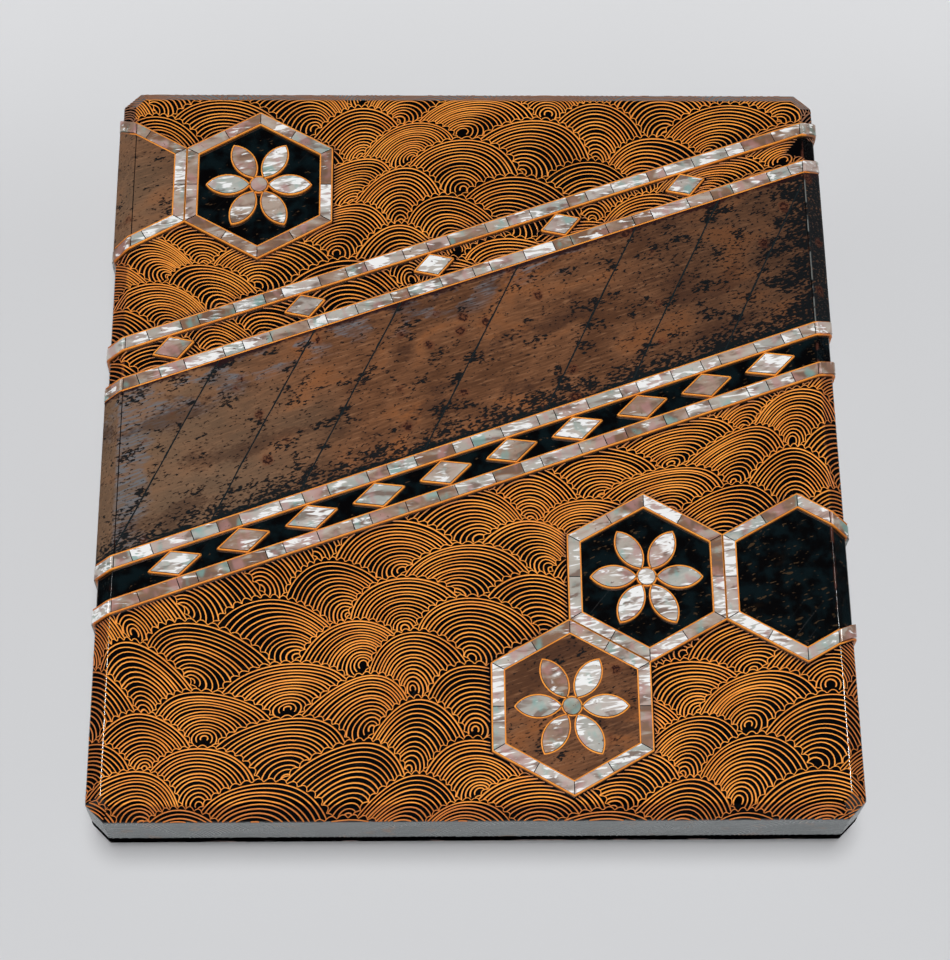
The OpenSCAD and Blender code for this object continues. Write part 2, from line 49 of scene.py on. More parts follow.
# ---- View ----
# The closed box is seen from above its front edge through a long lens. The camera is turned
# and tilted a little, as it stood when the box was photographed.
view_aim = Vector((0.49, -15.24, 26.5)) * mm
view_rise = math.radians(66.0)
view_turn = math.radians(-3.54)
view_tilt = math.radians(3.15)
view_distance = 709.5 * mm
view_lens = 89.3


def stood(name, data):
    """A new object made of this data, put in the scene."""
    made = bpy.data.objects.new(name, data)
    scene.collection.objects.link(made)
    return made


toward = Vector((math.sin(view_turn) * math.cos(view_rise),
                 -math.cos(view_turn) * math.cos(view_rise), math.sin(view_rise)))
level_right = Vector((math.cos(view_turn), math.sin(view_turn), 0))
level_up = toward.cross(level_right)
view_right = math.cos(view_tilt) * level_right + math.sin(view_tilt) * level_up
view_up = math.cos(view_tilt) * level_up - math.sin(view_tilt) * level_right

view = stood("view", bpy.data.cameras.new("view"))
view.data.lens = view_lens
view.data.clip_start = 0.01
view_place = view_aim + toward * view_distance
view.matrix_world = Matrix([(view_right[i], view_up[i], toward[i], view_place[i]) for i in range(3)]
                           + [(0, 0, 0, 1)])
scene.camera = view


# ---- Table and light ----
# The box stands on a matt pale table in a plain studio: soft lamps overhead, two small ones
# low at the sides that glint in polish, and a dark room that is pale low down at the front.
class Wire:
    """The output of one node. Arithmetic on wires adds Math nodes behind them."""

    def __init__(self, net, socket):
        self.net = net
        self.socket = socket

    def math(self, operation, *others):
        values = dict(enumerate((self, *others)))
        return self.net.node("ShaderNodeMath", {"operation": operation}, values)

    def __add__(self, other):
        return self.math("ADD", other)

    def __sub__(self, other):
        return self.math("SUBTRACT", other)

    def __mul__(self, other):
        return self.math("MULTIPLY", other)

    def __rsub__(self, other):
        return self.net.node("ShaderNodeMath", {"operation": "SUBTRACT"}, {0: other, 1: self})

    def __abs__(self):
        return self.math("ABSOLUTE")

    __radd__ = __add__
    __rmul__ = __mul__


class Net:
    """A tree of nodes."""

    def __init__(self, tree):
        self.tree = tree

    def set(self, socket, value):
        if isinstance(value, Wire):
            self.tree.links.new(value.socket, socket)
        elif socket.type == "RGBA":
            socket.default_value = (*value, 1)
        else:
            socket.default_value = value

    def node(self, kind, settings, values, out=0):
        """Adds a node: its settings come first, then the values or wires of its sockets."""
        made = self.tree.nodes.new(kind)
        for name, value in settings.items():
            if name == "stops":
                for k, (place, color) in enumerate(value):
                    stop = made.color_ramp.elements[k] if k < 2 else made.color_ramp.elements.new(place)
                    stop.position = place
                    stop.color = (*color, 1)
            else:
                setattr(made, name, value)
        for name, value in values.items():
            self.set(made.inputs[name], value)
        return Wire(self, made.outputs[out])


class Finish(Net):
    """A material built round one Principled shader."""

    def __init__(self, name, values):
        self.material = bpy.data.materials.new(name)
        self.material.use_nodes = True
        super().__init__(self.material.node_tree)
        self.shader = self.tree.nodes["Principled BSDF"]
        self.at = self.node("ShaderNodeTexCoord", {}, {}, "Object")
        self.give(values)

    def give(self, values):
        for name, value in values.items():
            self.set(self.shader.inputs[name], value)
        return self


def part_of(vector, k):
    """The x, y or z of a vector, as k is 0, 1 or 2."""
    return vector.net.node("ShaderNodeSeparateXYZ", {}, {0: vector}, k)


def clouds(m, size, detail=2.0, stretch=(1, 1, 1), turn=0.0, at=None, swirl=0.0):
    """Soft noise whose lumps are about size metres, drawn out along the axes by stretch."""
    placed = m.node("ShaderNodeMapping", {"vector_type": "TEXTURE"}, {
        "Vector": at or m.at, "Rotation": (0, 0, turn), "Scale": stretch})
    return m.node("ShaderNodeTexNoise", {}, {
        "Vector": placed, "Scale": 1 / size, "Detail": detail, "Distortion": swirl})


def past(value, low, high):
    """A mask that rises from 0 at low to 1 at high."""
    return value.net.node("ShaderNodeMapRange", {"interpolation_type": "SMOOTHSTEP"}, {
        "Value": value, "From Min": low, "From Max": high})


def tint(mask, color, other):
    """The first colour where the mask is 0, the other where it is 1."""
    return mask.net.node("ShaderNodeMix", {"data_type": "RGBA"}, {0: mask, 6: color, 7: other}, 2)


def relief(height, depth, strength):
    """Bumps whose height runs over depth metres."""
    return height.net.node("ShaderNodeBump", {}, {
        "Height": height, "Distance": depth, "Strength": strength})


def sun(name, rise, turn, spread, level, diffuse=True, glossy=True):
    """A lamp far off, at an elevation and a turn from the front in degrees. One without diffuse
    is seen only in polish, and one without glossy isn't seen there."""
    light = bpy.data.lights.new(name, "SUN")
    light.angle = math.radians(spread)
    light.energy = level
    lamp = stood(name, light)
    lamp.visible_diffuse = diffuse
    lamp.visible_glossy = glossy
    rise = math.radians(rise)
    turn = math.radians(turn)
    away = Vector((math.sin(turn) * math.cos(rise), -math.cos(turn) * math.cos(rise), math.sin(rise)))
    lamp.rotation_euler = away.to_track_quat("Z", "Y").to_euler()


sun("lamp_before", 76, 0, 20, 1.42)
sun("lamp_behind", 84, 180, 20, 1.38, glossy=False)
sun("gleam_over", 81, 0, 40, 1.1, diffuse=False)
sun("glint_left", 40, -113, 5, 1.0, diffuse=False)
sun("glint_right", 40, 113, 5, 1.0, diffuse=False)

scene.view_settings.view_transform = "Standard"
scene.world = bpy.data.worlds.new("room")
scene.world.use_nodes = True
room = Net(scene.world.node_tree)
room_way = room.node("ShaderNodeTexCoord", {}, {}, "Generated")
room_y, room_z = (part_of(room_way, k) for k in (1, 2))
room_pale = past(room_z, 0.52, 0.40) * past(room_y, 0.24, 0.05)
room_color = tint(room_pale, (0.012, 0.012, 0.013), (0.48, 0.49, 0.51))
room.set(room.tree.nodes["Background"].inputs["Color"], room_color)

table_finish = Finish("pale table", {"Roughness": 0.9, "Specular IOR Level": 0.1})
table_y = part_of(table_finish.at, 1)
# Painted light: the table's colour is paler towards the back, as if more light fell there.
table_lit_back = past(table_y + clouds(table_finish, 0.4) * 40 * mm, 90 * mm, 200 * mm)
table_finish.give({"Base Color": tint(table_lit_back, (0.67, 0.675, 0.69), (0.76, 0.765, 0.78))})
table_mesh = bpy.data.meshes.new("table")
table_half = 12
table_mesh.from_pydata([(-table_half, -table_half, 0), (table_half, -table_half, 0),
                        (table_half, table_half, 0), (-table_half, table_half, 0)], [], [(0, 1, 2, 3)])
table_mesh.materials.append(table_finish.material)
table = stood("table", table_mesh)


# ---- Base ----
# The lower half of the case: thin softwood boards under many coats of black lacquer, sloped in
# below its band, with a strip of foot under it and a thinner rim inside that the lid drops over.
sharp_angle = math.radians(28)


def softened(node, name, arris, finish, mitre_z=math.inf):
    """A copy of a CAD node, its triangles merged and its sharp arrises eased by arris metres.
    Above mitre_z every edge that isn't level stays sharp, so long arrises shade evenly."""
    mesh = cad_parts[node].data.copy()
    mesh.name = name
    shape = bmesh.new()
    shape.from_mesh(mesh)
    bmesh.ops.remove_doubles(shape, verts=shape.verts, dist=1e-6)
    bmesh.ops.dissolve_limit(shape, angle_limit=math.radians(0.2), verts=shape.verts, edges=shape.edges)
    shape.to_mesh(mesh)
    shape.free()
    mesh.materials.clear()
    mesh.materials.append(finish.material)
    mesh.shade_smooth()
    mesh.set_sharp_from_angle(angle=sharp_angle)
    for edge in mesh.edges:
        low, high = sorted(mesh.vertices[i].co.z for i in edge.vertices)
        if low > mitre_z and high > low + 0.01 * mm:
            edge.use_edge_sharp = True
    piece = stood(name, mesh)
    if arris:
        easing = piece.modifiers.new("easing", "BEVEL")
        easing.width = arris
        easing.segments = 2
        easing.limit_method = "ANGLE"
        easing.angle_limit = sharp_angle
        easing.harden_normals = True
        evening = piece.modifiers.new("evening", "WEIGHTED_NORMAL")
        evening.keep_sharp = True
        settle(piece)
    return piece


def settle(piece):
    """Turns a piece with modifiers into the plain mesh that they make."""
    graph = bpy.context.evaluated_depsgraph_get()
    mesh = bpy.data.meshes.new_from_object(piece.evaluated_get(graph), depsgraph=graph)
    piece.modifiers.clear()
    piece.data = mesh


def stands_for(piece, node, body):
    """Puts a piece in its CAD node's place, hiding the node, and on the body."""
    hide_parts(node)
    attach(piece, body)


def line_with(piece, finish, inside):
    """Gives another finish to the faces whose middle and normal pass the test inside."""
    piece.data.materials.append(finish.material)
    for face in piece.data.polygons:
        if inside(face.center, face.normal):
            face.material_index = 1


def black_lacquer(name, wear, haze_sheen_color, shine):
    """Polished black lacquer. wear gives five masks: where handling has thinned it to its red ground, where
    it is hazed over and given a pale painted sheen (a painted reflection of the pale table) in the sheen
    colour, where that painted sheen is whitish, where it has lost its polish, and where old dust is caught
    in it."""
    m = Finish(name, {"IOR": 1.5, "Coat IOR": 1.5, "Coat Roughness": 0.05, "Specular IOR Level": shine})
    worn, haze_and_sheen, white_sheen, rubbed, dusty = wear(m)
    cloudy = clouds(m, 60 * mm, 3)
    marks = past(clouds(m, 5 * mm, 5, (2.5, 1, 1), 0.35), 0.60, 0.75) * 0.7
    scratches = past(clouds(m, 0.5 * mm, 2, (60, 1, 1), 0.9), 0.68, 0.74)
    thinned = worn * past(clouds(m, 2.2 * mm, 4, (3, 3, 1)), 0.50, 0.62)
    body = tint(marks, (0.0012, 0.0011, 0.0014), (0.012, 0.007, 0.004))
    body = tint(scratches * 0.08, body, (0.10, 0.09, 0.08))
    body = tint(dusty * past(clouds(m, 5 * mm, 3), 0.40, 0.65), body, (0.003, 0.008, 0.010))
    flecks = past(clouds(m, 0.9 * mm, 3, (2.5, 1, 1), 0.35) + cloudy * 0.16, 0.74, 0.79)
    body = tint(dusty * flecks * 0.8, body, (0.070, 0.040, 0.019))
    # Painted reflection: the hazed places take the pale sheen colour, whitish where white_sheen is, in place
    # of the table seen in the polish.
    body = tint(haze_and_sheen * (0.8 + cloudy * 0.4), body, tint(white_sheen, haze_sheen_color, (0.80, 0.80, 0.79)))
    m.give({
        "Base Color": tint(thinned, body, (0.16, 0.048, 0.028)),
        "Coat Weight": 0.3 * (1 - haze_and_sheen),
        "Roughness": 0.09 + 0.05 * cloudy + 0.15 * scratches + 0.2 * haze_and_sheen,
        "Normal": relief(clouds(m, 9 * mm, 2) + scratches * -0.05, 0.02 * mm, 0.4)})
    dull = m.node("ShaderNodeBsdfDiffuse", {}, {"Color": (0.0008, 0.0006, 0.0007)})
    mixed = m.node("ShaderNodeMixShader", {}, {
        0: rubbed * (1 - thinned), 1: Wire(m, m.shader.outputs[0]), 2: dull})
    m.set(m.tree.nodes["Material Output"].inputs["Surface"], mixed)
    return m


def place_of(m):
    """A point's distances from the middle plane of the box to the sides and to front and back,
    and its height, as wires."""
    x, y, z = (part_of(m.at, k) for k in range(3))
    return abs(x), abs(y), z


def base_wear(m):
    """Its upright band is dull, and thinned to red along the lower arris."""
    z = part_of(m.at, 2)
    arris = past(z, 8.0 * mm, 7.0 * mm) * past(z, 5.2 * mm, 6.0 * mm)
    none = arris * 0.0
    return arris * 1.6, none, none, past(z, 4 * mm, 5 * mm), none


def cells(m, size, at):
    """Cells about size metres across: two random numbers for each, and how far off its middle is."""
    values = {"Vector": at, "Scale": 1 / size}
    color = m.node("ShaderNodeTexVoronoi", {}, values, "Color")
    lots = [m.node("ShaderNodeSeparateColor", {}, {0: color}, k) for k in (0, 1)]
    return lots, m.node("ShaderNodeTexVoronoi", {}, values, "Distance")


def sprinkled_lacquer():
    """Gold flakes sprinkled at all angles in clear brown lacquer. Each flake's colour carries a painted
    glint, brighter or darker as if it caught the light at its own angle.
    """
    m = Finish("sprinkled lacquer", {"IOR": 1.5, "Coat Weight": 0.8, "Coat Roughness": 0.08})
    (lot, painted_glint), core = cells(m, 0.75 * mm, m.at)
    thick = clouds(m, 25 * mm, 2)
    flake = past(lot + (thick - 0.5) * 0.8, 0.42, 0.50) * past(core, 0.55, 0.38)
    ground = tint(thick, (0.050, 0.014, 0.005), (0.115, 0.038, 0.012))
    return m.give({
        # Painted highlight: painted_glint picks a bright or a dark gold for each flake.
        "Base Color": tint(flake, ground, tint(painted_glint, (0.34, 0.15, 0.03), (0.85, 0.52, 0.16))),
        "Metallic": flake * 0.75,
        "Roughness": 0.38 - painted_glint * flake * 0.2,
        "Normal": relief(painted_glint * flake, 0.04 * mm, 0.6)})


lacquer = black_lacquer("black lacquer of the base", base_wear, (0.02, 0.02, 0.02), 0.06)
sprinkled = sprinkled_lacquer()

base_case = softened("base_shell", "base_case", 0.25 * mm, lacquer)
base_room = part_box("base_riser")[1].x + 0.1 * mm
base_floor_top = 7 * mm
line_with(base_case, sprinkled, lambda c, n: n.z > 0.9 and abs(c.x) < base_room and c.z < base_floor_top)
base_rim = softened("base_riser", "base_inner_rim", 0.3 * mm, sprinkled)
foot = softened("base_foot", "base_foot_strip", 0.3 * mm, lacquer)
stands_for(base_case, "base_shell", "base")
stands_for(base_rim, "base_riser", "base")
stands_for(foot, "base_foot", "base")


# ---- Insert ----
# A shallow tray that fills the base: sprinkled lacquer over thin wood, with a deck let in
# between its two inner walls and gold beads glued round the deck's openings.
def gold_lacquer(name, light, deep, metal):
    """Gold dust laid in wet lacquer and burnished."""
    m = Finish(name, {"IOR": 1.45})
    dust = clouds(m, 0.16 * mm, 1)
    drift = clouds(m, 9 * mm, 3)
    return m.give({
        "Base Color": tint(past(drift + (dust - 0.5) * 0.6, 0.35, 0.65), deep, light),
        "Metallic": metal * (0.6 + 0.8 * past(dust, 0.35, 0.65)),
        "Roughness": 0.38 + 0.2 * drift,
        "Normal": relief(dust, 0.03 * mm, 0.6)})


bead_gold = gold_lacquer("gold lacquer of the beads", (0.82, 0.47, 0.12), (0.52, 0.25, 0.05), 0.6)

for node, name, arris, finish, slot in (
        ("insert_tray", "insert_case", 0.3 * mm, sprinkled, "sprinkled_lacquer"),
        ("insert_deck", "insert_deck_board", 0.2 * mm, sprinkled, "sprinkled_lacquer"),
        ("stone_bead", "insert_bead_stone", 0.35 * mm, bead_gold, "gold_lacquer"),
        ("dropper_bead", "insert_bead_dropper", 0.35 * mm, bead_gold, "gold_lacquer"),
        ("tool_rests", "insert_tool_rests", 0.3 * mm, lacquer, "black_lacquer")):
    stands_for(softened(node, name, arris, finish), node, "insert")


# ---- Inkstone ----
# One block of dark slate, cut and honed by hand: a rim, a flat grinding face polished by the
# ink stick, and a well that still holds a dried tide line of ink.
def slate():
    m = Finish("honed slate", {"IOR": 1.5})
    grain = clouds(m, 0.5 * mm, 4)
    layers = clouds(m, 7 * mm, 4, (4, 4, 0.3))
    stone_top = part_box("inkstone")[1].z
    tide = part_of(m.at, 2) + (clouds(m, 6 * mm, 3) - 0.5) * 0.9 * mm
    inked = past(tide, stone_top - 0.7 * mm, stone_top - 1.5 * mm)
    pale = past(layers + (grain - 0.5) * 0.5, 0.35, 0.7)
    body = tint(pale, (0.030, 0.029, 0.032), (0.075, 0.072, 0.074))
    return m.give({
        "Base Color": tint(inked * 0.8, body, (0.010, 0.010, 0.012)),
        "Roughness": 0.62 - 0.28 * inked + 0.1 * grain,
        "Normal": relief(grain + layers, 0.05 * mm, 0.7)})


inkstone = softened("inkstone", "inkstone_block", 0.3 * mm, slate())
stands_for(inkstone, "inkstone", "inkstone")


# ---- Water dropper ----
# A flat square bottle of thin copper, raised and soldered, with a pouring tube at one corner
# and an air hole in the middle of its top. Handling has browned it.
def patinated_copper():
    m = Finish("patinated copper", {})
    blotch = clouds(m, 8 * mm, 5)
    brushed = clouds(m, 0.25 * mm, 2, (30, 1, 1), 0.4)
    green = past(clouds(m, 3 * mm, 4), 0.62, 0.72) * 0.5
    body = tint(past(blotch, 0.35, 0.65), (0.20, 0.075, 0.03), (0.50, 0.24, 0.10))
    return m.give({
        "Base Color": tint(green, body, (0.10, 0.15, 0.10)),
        "Metallic": 0.9 - green,
        "Roughness": 0.28 + 0.25 * blotch + 0.3 * green,
        "Normal": relief(brushed + blotch, 0.02 * mm, 0.5)})


copper = patinated_copper()
for node, name, arris in (("dropper_pan", "dropper_body", 0.3 * mm), ("dropper_top", "dropper_lid", 0.0),
                          ("dropper_spout", "dropper_tube", 0.15 * mm)):
    stands_for(softened(node, name, arris, copper), node, "dropper")


# ---- Brush tray ----
# A lift-out tray in the insert's right bay, lacquered as the insert is, with two notched
# black rests glued across it.
tray = softened("brush_tray", "brush_tray_case", 0.3 * mm, sprinkled)
tray_rests = softened("brush_rests", "brush_tray_rests", 0.3 * mm, lacquer)
stands_for(tray, "brush_tray", "brush_tray")
stands_for(tray_rests, "brush_rests", "brush_tray")


# ---- Brushes ----
# Two writing brushes: a lacquered bamboo shaft with turned rings, a brass collar crimped over
# its end, and a head of goat hair that starch has drawn to a point.
def red_lacquer():
    m = Finish("red lacquer", {"IOR": 1.55, "Coat Weight": 0.6, "Coat Roughness": 0.05})
    streak = clouds(m, 1.2 * mm, 4, (1, 25, 1))
    return m.give({
        "Base Color": tint(past(streak, 0.3, 0.75), (0.20, 0.016, 0.008), (0.36, 0.045, 0.018)),
        "Roughness": 0.18 + 0.15 * streak,
        "Normal": relief(streak, 0.04 * mm, 0.5)})


def brass():
    m = Finish("satin brass", {})
    rub = clouds(m, 0.2 * mm, 3, (1, 12, 1))
    spots = past(clouds(m, 1.5 * mm, 4), 0.55, 0.7)
    return m.give({
        "Base Color": tint(spots, (0.62, 0.42, 0.15), (0.25, 0.14, 0.05)),
        "Metallic": 1.0 - 0.3 * spots,
        "Roughness": 0.28 + 0.2 * spots,
        "Normal": relief(rub, 0.02 * mm, 0.6)})


def goat_hair():
    m = Finish("goat hair", {"IOR": 1.5, "Roughness": 0.6})
    strands = clouds(m, 0.14 * mm, 2, (1, 60, 1))
    near_tip = past(place_of(m)[1], 74 * mm, 92 * mm)
    body = tint(past(strands, 0.3, 0.7), (0.34, 0.24, 0.13), (0.72, 0.60, 0.43))
    return m.give({
        "Base Color": tint(near_tip * 0.6, body, (0.22, 0.14, 0.075)),
        "Normal": relief(strands, 0.08 * mm, 0.8)})


brass_finish = brass()
hair_finish = goat_hair()
shaft_finishes = {1: (red_lacquer(), "red_lacquer"), 2: (lacquer, "black_lacquer")}
for k, (shaft_finish, shaft_slot) in shaft_finishes.items():
    for part, arris, finish, slot in (("shaft", 0.0, shaft_finish, shaft_slot),
                                      ("collar", 0.1 * mm, brass_finish, "brass"),
                                      ("hair", 0.0, hair_finish, "hair")):
        piece = softened(f"brush_{k}_{part}", f"writing_brush_{k}_{part}", arris, finish)
        stands_for(piece, f"brush_{k}_{part}", f"brush_{k}")


# ---- Ink stick, knife and awl ----
# Soot and glue pressed in a mould; a paper knife and an awl, each with an oiled hardwood
# handle, a brass collar and a ground steel blade or point driven into the wood.
def pressed_ink():
    m = Finish("pressed ink", {"IOR": 1.45})
    grain = clouds(m, 0.6 * mm, 4)
    return m.give({
        "Base Color": tint(grain, (0.008, 0.008, 0.010), (0.022, 0.021, 0.024)),
        "Roughness": 0.42 + 0.2 * grain,
        "Normal": relief(grain, 0.05 * mm, 0.6)})


def hardwood():
    m = Finish("oiled hardwood", {"IOR": 1.5, "Coat Weight": 0.15, "Coat Roughness": 0.3})
    growth = clouds(m, 2.0 * mm, 4, (1, 14, 1))
    pores = past(clouds(m, 0.22 * mm, 2, (1, 18, 1)), 0.58, 0.66)
    body = tint(past(growth, 0.35, 0.65), (0.085, 0.030, 0.010), (0.24, 0.105, 0.038))
    return m.give({
        "Base Color": tint(pores * 0.7, body, (0.03, 0.012, 0.006)),
        "Roughness": 0.38 + 0.2 * growth,
        "Normal": relief(growth - pores * 0.6, 0.06 * mm, 0.6)})


def ground_steel():
    m = Finish("ground steel", {})
    marks = clouds(m, 0.12 * mm, 2, (30, 1, 1))
    rust = past(clouds(m, 3.5 * mm, 5), 0.60, 0.72)
    return m.give({
        "Base Color": tint(rust, (0.50, 0.50, 0.51), (0.12, 0.06, 0.035)),
        "Metallic": 1.0 - 0.6 * rust,
        "Roughness": 0.26 + 0.12 * marks + 0.35 * rust,
        "Normal": relief(marks, 0.015 * mm, 0.5)})


wood_finish = hardwood()
steel_finish = ground_steel()
for node, name, arris, finish, body, slot in (
        ("ink_stick", "ink_stick_block", 0.25 * mm, pressed_ink(), "ink_stick", "ink"),
        ("knife_handle", "paper_knife_handle", 0.3 * mm, wood_finish, "knife", "hardwood"),
        ("knife_collar", "paper_knife_collar", 0.15 * mm, brass_finish, "knife", "brass"),
        ("knife_blade", "paper_knife_blade", 0.0, steel_finish, "knife", "steel"),
        ("awl_handle", "paper_awl_handle", 0.0, wood_finish, "awl", "hardwood"),
        ("awl_collar", "paper_awl_collar", 0.0, brass_finish, "awl", "brass"),
        ("awl_point", "paper_awl_point", 0.0, steel_finish, "awl", "steel")):
    stands_for(softened(node, name, arris, finish), node, body)


# ---- Lid ----
# Five thin boards under black lacquer, the top one bevelled all round, with the upright corners cut off. Its
# outside is polished, its upright sides carry a painted sheen, and its inside is sprinkled like the insert.
lid_low, lid_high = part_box("lid_shell")
lid_wall = 3.2 * mm
lid_board = 3 * mm
shoulder_z = 26.5 * mm
bevel_run = 4.6 * mm
corner_cut = 5.2 * mm
corner_line = lid_high.x + lid_high.y - corner_cut
arris_r = 0.9 * mm

# The places of the inlay on it
sash_angle = math.radians(20)
sash_middle = np.array([0, 24 * mm])
sash_along = np.array([math.cos(sash_angle), math.sin(sash_angle)])
sash_across = np.array([-math.sin(sash_angle), math.cos(sash_angle)])
inlay_joint = 0.25 * mm
strip_edges = [25.25 * mm, 28.75 * mm, 38.25 * mm, 41.75 * mm]
channel_middle = (strip_edges[1] + strip_edges[2]) / 2
channel_half = 5 * mm
lozenge_pitch = 21 * mm
lozenge_half = (6 * mm, 3.7 * mm)
wide_lozenge_half = (7.5 * mm, 3.7 * mm)
hexagon_r = 26 * mm
hexagon_flat = hexagon_r * math.sqrt(3) / 2
hexagon_frame = 3.2 * mm
hexagon_window = 23 * mm
comb_pitch = hexagon_r * math.sqrt(3) + 0.6 * mm
comb_row = comb_pitch * math.sqrt(3) / 2
hexagons = np.array([(50, -48), (50, -48), (50, -48), (-66, 84), (-66, 84)]) * mm + np.array([
    (0, 0), (-comb_pitch / 2, -comb_row), (comb_pitch, 0), (0, 0), (-comb_pitch, 0)])
bare_edge = 0.75 * mm


def lid_wear(m):
    """Its arrises are thinned in places, and its upright sides are hazed and given a blue-grey painted
    sheen, a painted reflection of the pale table. The sheen is stronger and whitish on the cut corners, and
    it is left out on the lowest millimetre, which is dull. Old dust is caught in the bare places between the
    pieces of shell."""
    x, y, z = place_of(m)
    beside = past(abs(x - (lid_high.x - bevel_run)), 0.7 * mm, 0.2 * mm)
    before = past(abs(y - (lid_high.y - bevel_run)), 1.0 * mm, 0.6 * mm)
    on_top = past(z, lid_high.z - 0.8 * mm, lid_high.z - 0.3 * mm)
    shoulder = past(abs(z - (shoulder_z - 0.2 * mm)), 0.5 * mm, 0.1 * mm)
    upright = past(z, shoulder_z - 0.1 * mm, shoulder_z - 0.7 * mm)
    facet = past(x + y, corner_line - 0.3 * mm, corner_line - 0.1 * mm)
    lowest = past(z, lid_low.z + 1.2 * mm, lid_low.z + 0.7 * mm)
    # Painted reflection: the sheen turns whitish on the facets of the cut corners.
    white_sheen = facet * past(z, lid_low.z + 1 * mm, shoulder_z)
    worn = on_top * beside * 0.5 + shoulder * 0.6
    haze_and_sheen = upright * (0.5 + 0.5 * facet) * (1 - lowest)
    away = [m.node("ShaderNodeVectorMath", {"operation": "DISTANCE"}, {0: m.at, 1: (*middle, lid_high.z)}, 1)
            for middle in hexagons]
    windows = sum(past(d, hexagon_window, hexagon_window - 1 * mm) for d in away)
    v = m.node("ShaderNodeVectorMath", {"operation": "DOT_PRODUCT"}, {
        0: m.at, 1: (*sash_across, 0)}, 1) - float(sash_middle @ sash_across)
    channel = past(abs(v + channel_middle), channel_half + 0.4 * mm, channel_half)
    dusty = (windows + channel).math("MINIMUM", 1.0)
    return worn, haze_and_sheen, white_sheen, on_top * before + lowest, dusty


# The lid's haze colour is a blue-grey painted sheen, a painted reflection of the pale table.
lid_lacquer = black_lacquer("black lacquer of the lid", lid_wear, (0.205, 0.24, 0.24), 0.5)
lid = softened("lid_shell", "lid_case", 0.25 * mm, lid_lacquer, mitre_z=25 * mm)
lid_inset = 0.12 * mm
lid.data.transform(Matrix.Diagonal((1 - lid_inset / lid_high.x, 1 - lid_inset / lid_high.y, 1, 1)))
lid_lined = lid_high - Vector((lid_wall - 0.01 * mm, lid_wall - 0.01 * mm, lid_board))
line_with(lid, sprinkled, lambda c, n: (
    abs(c.x) < lid_lined.x and abs(c.y) < lid_lined.y and c.z < lid_lined.z))
stands_for(lid, "lid_shell", "lid")


# ---- Waves in gold line ----
# The traditional wave scales, drawn with a brush in wet lacquer, raised, and dusted with gold:
# arcs inside arcs, each scale over the ones behind it, with a row of small loops on its crest.
# The drawing runs on over the bevel and down the sides, and leaves the inlay free.
lid_high.xy -= Vector((lid_inset, lid_inset))
lid_faces = [math.radians(45 * k) for k in range(8)]
face_out = np.array([(math.cos(a), math.sin(a)) for a in lid_faces])
face_along = np.array([(-math.sin(a), math.cos(a)) for a in lid_faces])
corner_reach = (lid_high.x + lid_high.y - corner_cut) / math.sqrt(2)
face_reach = np.array([lid_high.x, corner_reach, lid_high.y, corner_reach] * 2)
corner_shift = (lid_high.y - lid_high.x) / math.sqrt(2)
face_middle = np.array([0, corner_shift, 0, -corner_shift] * 2)
corner_half = corner_cut / math.sqrt(2)
face_half = np.array([lid_high.y - corner_cut, corner_half, lid_high.x - corner_cut, corner_half] * 2)
top_reach = face_reach - bevel_run
bevel_rise = lid_high.z - shoulder_z
bevel_l = math.hypot(bevel_run, bevel_rise)
side_end = bevel_l + shoulder_z - lid_low.z
bevel_turn = math.atan2(bevel_rise, bevel_run)
arrises = [(0, bevel_turn, -arris_r * math.tan(bevel_turn / 2), lid_high.z - arris_r),
           (bevel_l, math.pi / 2 - bevel_turn, bevel_run - arris_r,
            shoulder_z - arris_r * math.tan((math.pi / 2 - bevel_turn) / 2))]


def on_lid(face, t, along):
    """Points of the lid's surface and their normals: on a face, t past the top's edge, along it."""
    out = np.where(t < 0, t, np.minimum(t * bevel_run / bevel_l, bevel_run))
    z = np.where(t < bevel_l, lid_high.z - np.maximum(t, 0) * bevel_rise / bevel_l, shoulder_z + bevel_l - t)
    normal_out = np.where(t < 0, 0, np.where(t < bevel_l, math.sin(bevel_turn), 1))
    normal_z = np.where(t < 0, 1, np.where(t < bevel_l, math.cos(bevel_turn), 0))
    for at, bend, centre_out, centre_z in arrises:
        near = np.abs(t - at) < arris_r * math.tan(bend / 2)
        away = np.maximum(np.hypot(out - centre_out, z - centre_z), 1e-9)
        turned_out = (out - centre_out) / away
        turned_z = (z - centre_z) / away
        out = np.where(near, centre_out + arris_r * turned_out, out)
        z = np.where(near, centre_z + arris_r * turned_z, z)
        normal_out = np.where(near, turned_out, normal_out)
        normal_z = np.where(near, turned_z, normal_z)
    flat = face_out[face] * (top_reach[face] + out)[:, None] + face_along[face] * along[:, None]
    normal = np.column_stack([face_out[face] * normal_out[:, None], normal_z])
    return np.column_stack([flat, z]), normal


def face_of(q):
    """The face that each point of the plan lies towards, how far past its edge, and how far along."""
    past_edge = q @ face_out.T - top_reach
    face = past_edge.argmax(1)
    return face, past_edge[np.arange(len(q)), face], (q * face_along[face]).sum(1)


def folded(q):
    """A flat drawing laid over the lid: points, normals, distance past the edge, and which fit."""
    face, t, along = face_of(q)
    inset = bevel_run - np.clip(t * bevel_run / bevel_l, 0, bevel_run)
    half = face_half[face] - math.tan(math.pi / 8) * inset
    fits = (t < 0) | (np.abs(along - face_middle[face]) < half) & (t < side_end - 0.4 * mm)
    points, normals = on_lid(face, t, along)
    return points, normals, t, fits


def hexagon_depth(xy, middle):
    """How far a point lies inside the flats of a hexagon's outline."""
    away = [np.abs((xy - middle) @ np.array([math.cos(a), math.sin(a)])) for a in
            (0, math.pi / 3, 2 * math.pi / 3)]
    return hexagon_flat - np.maximum.reduce(away)


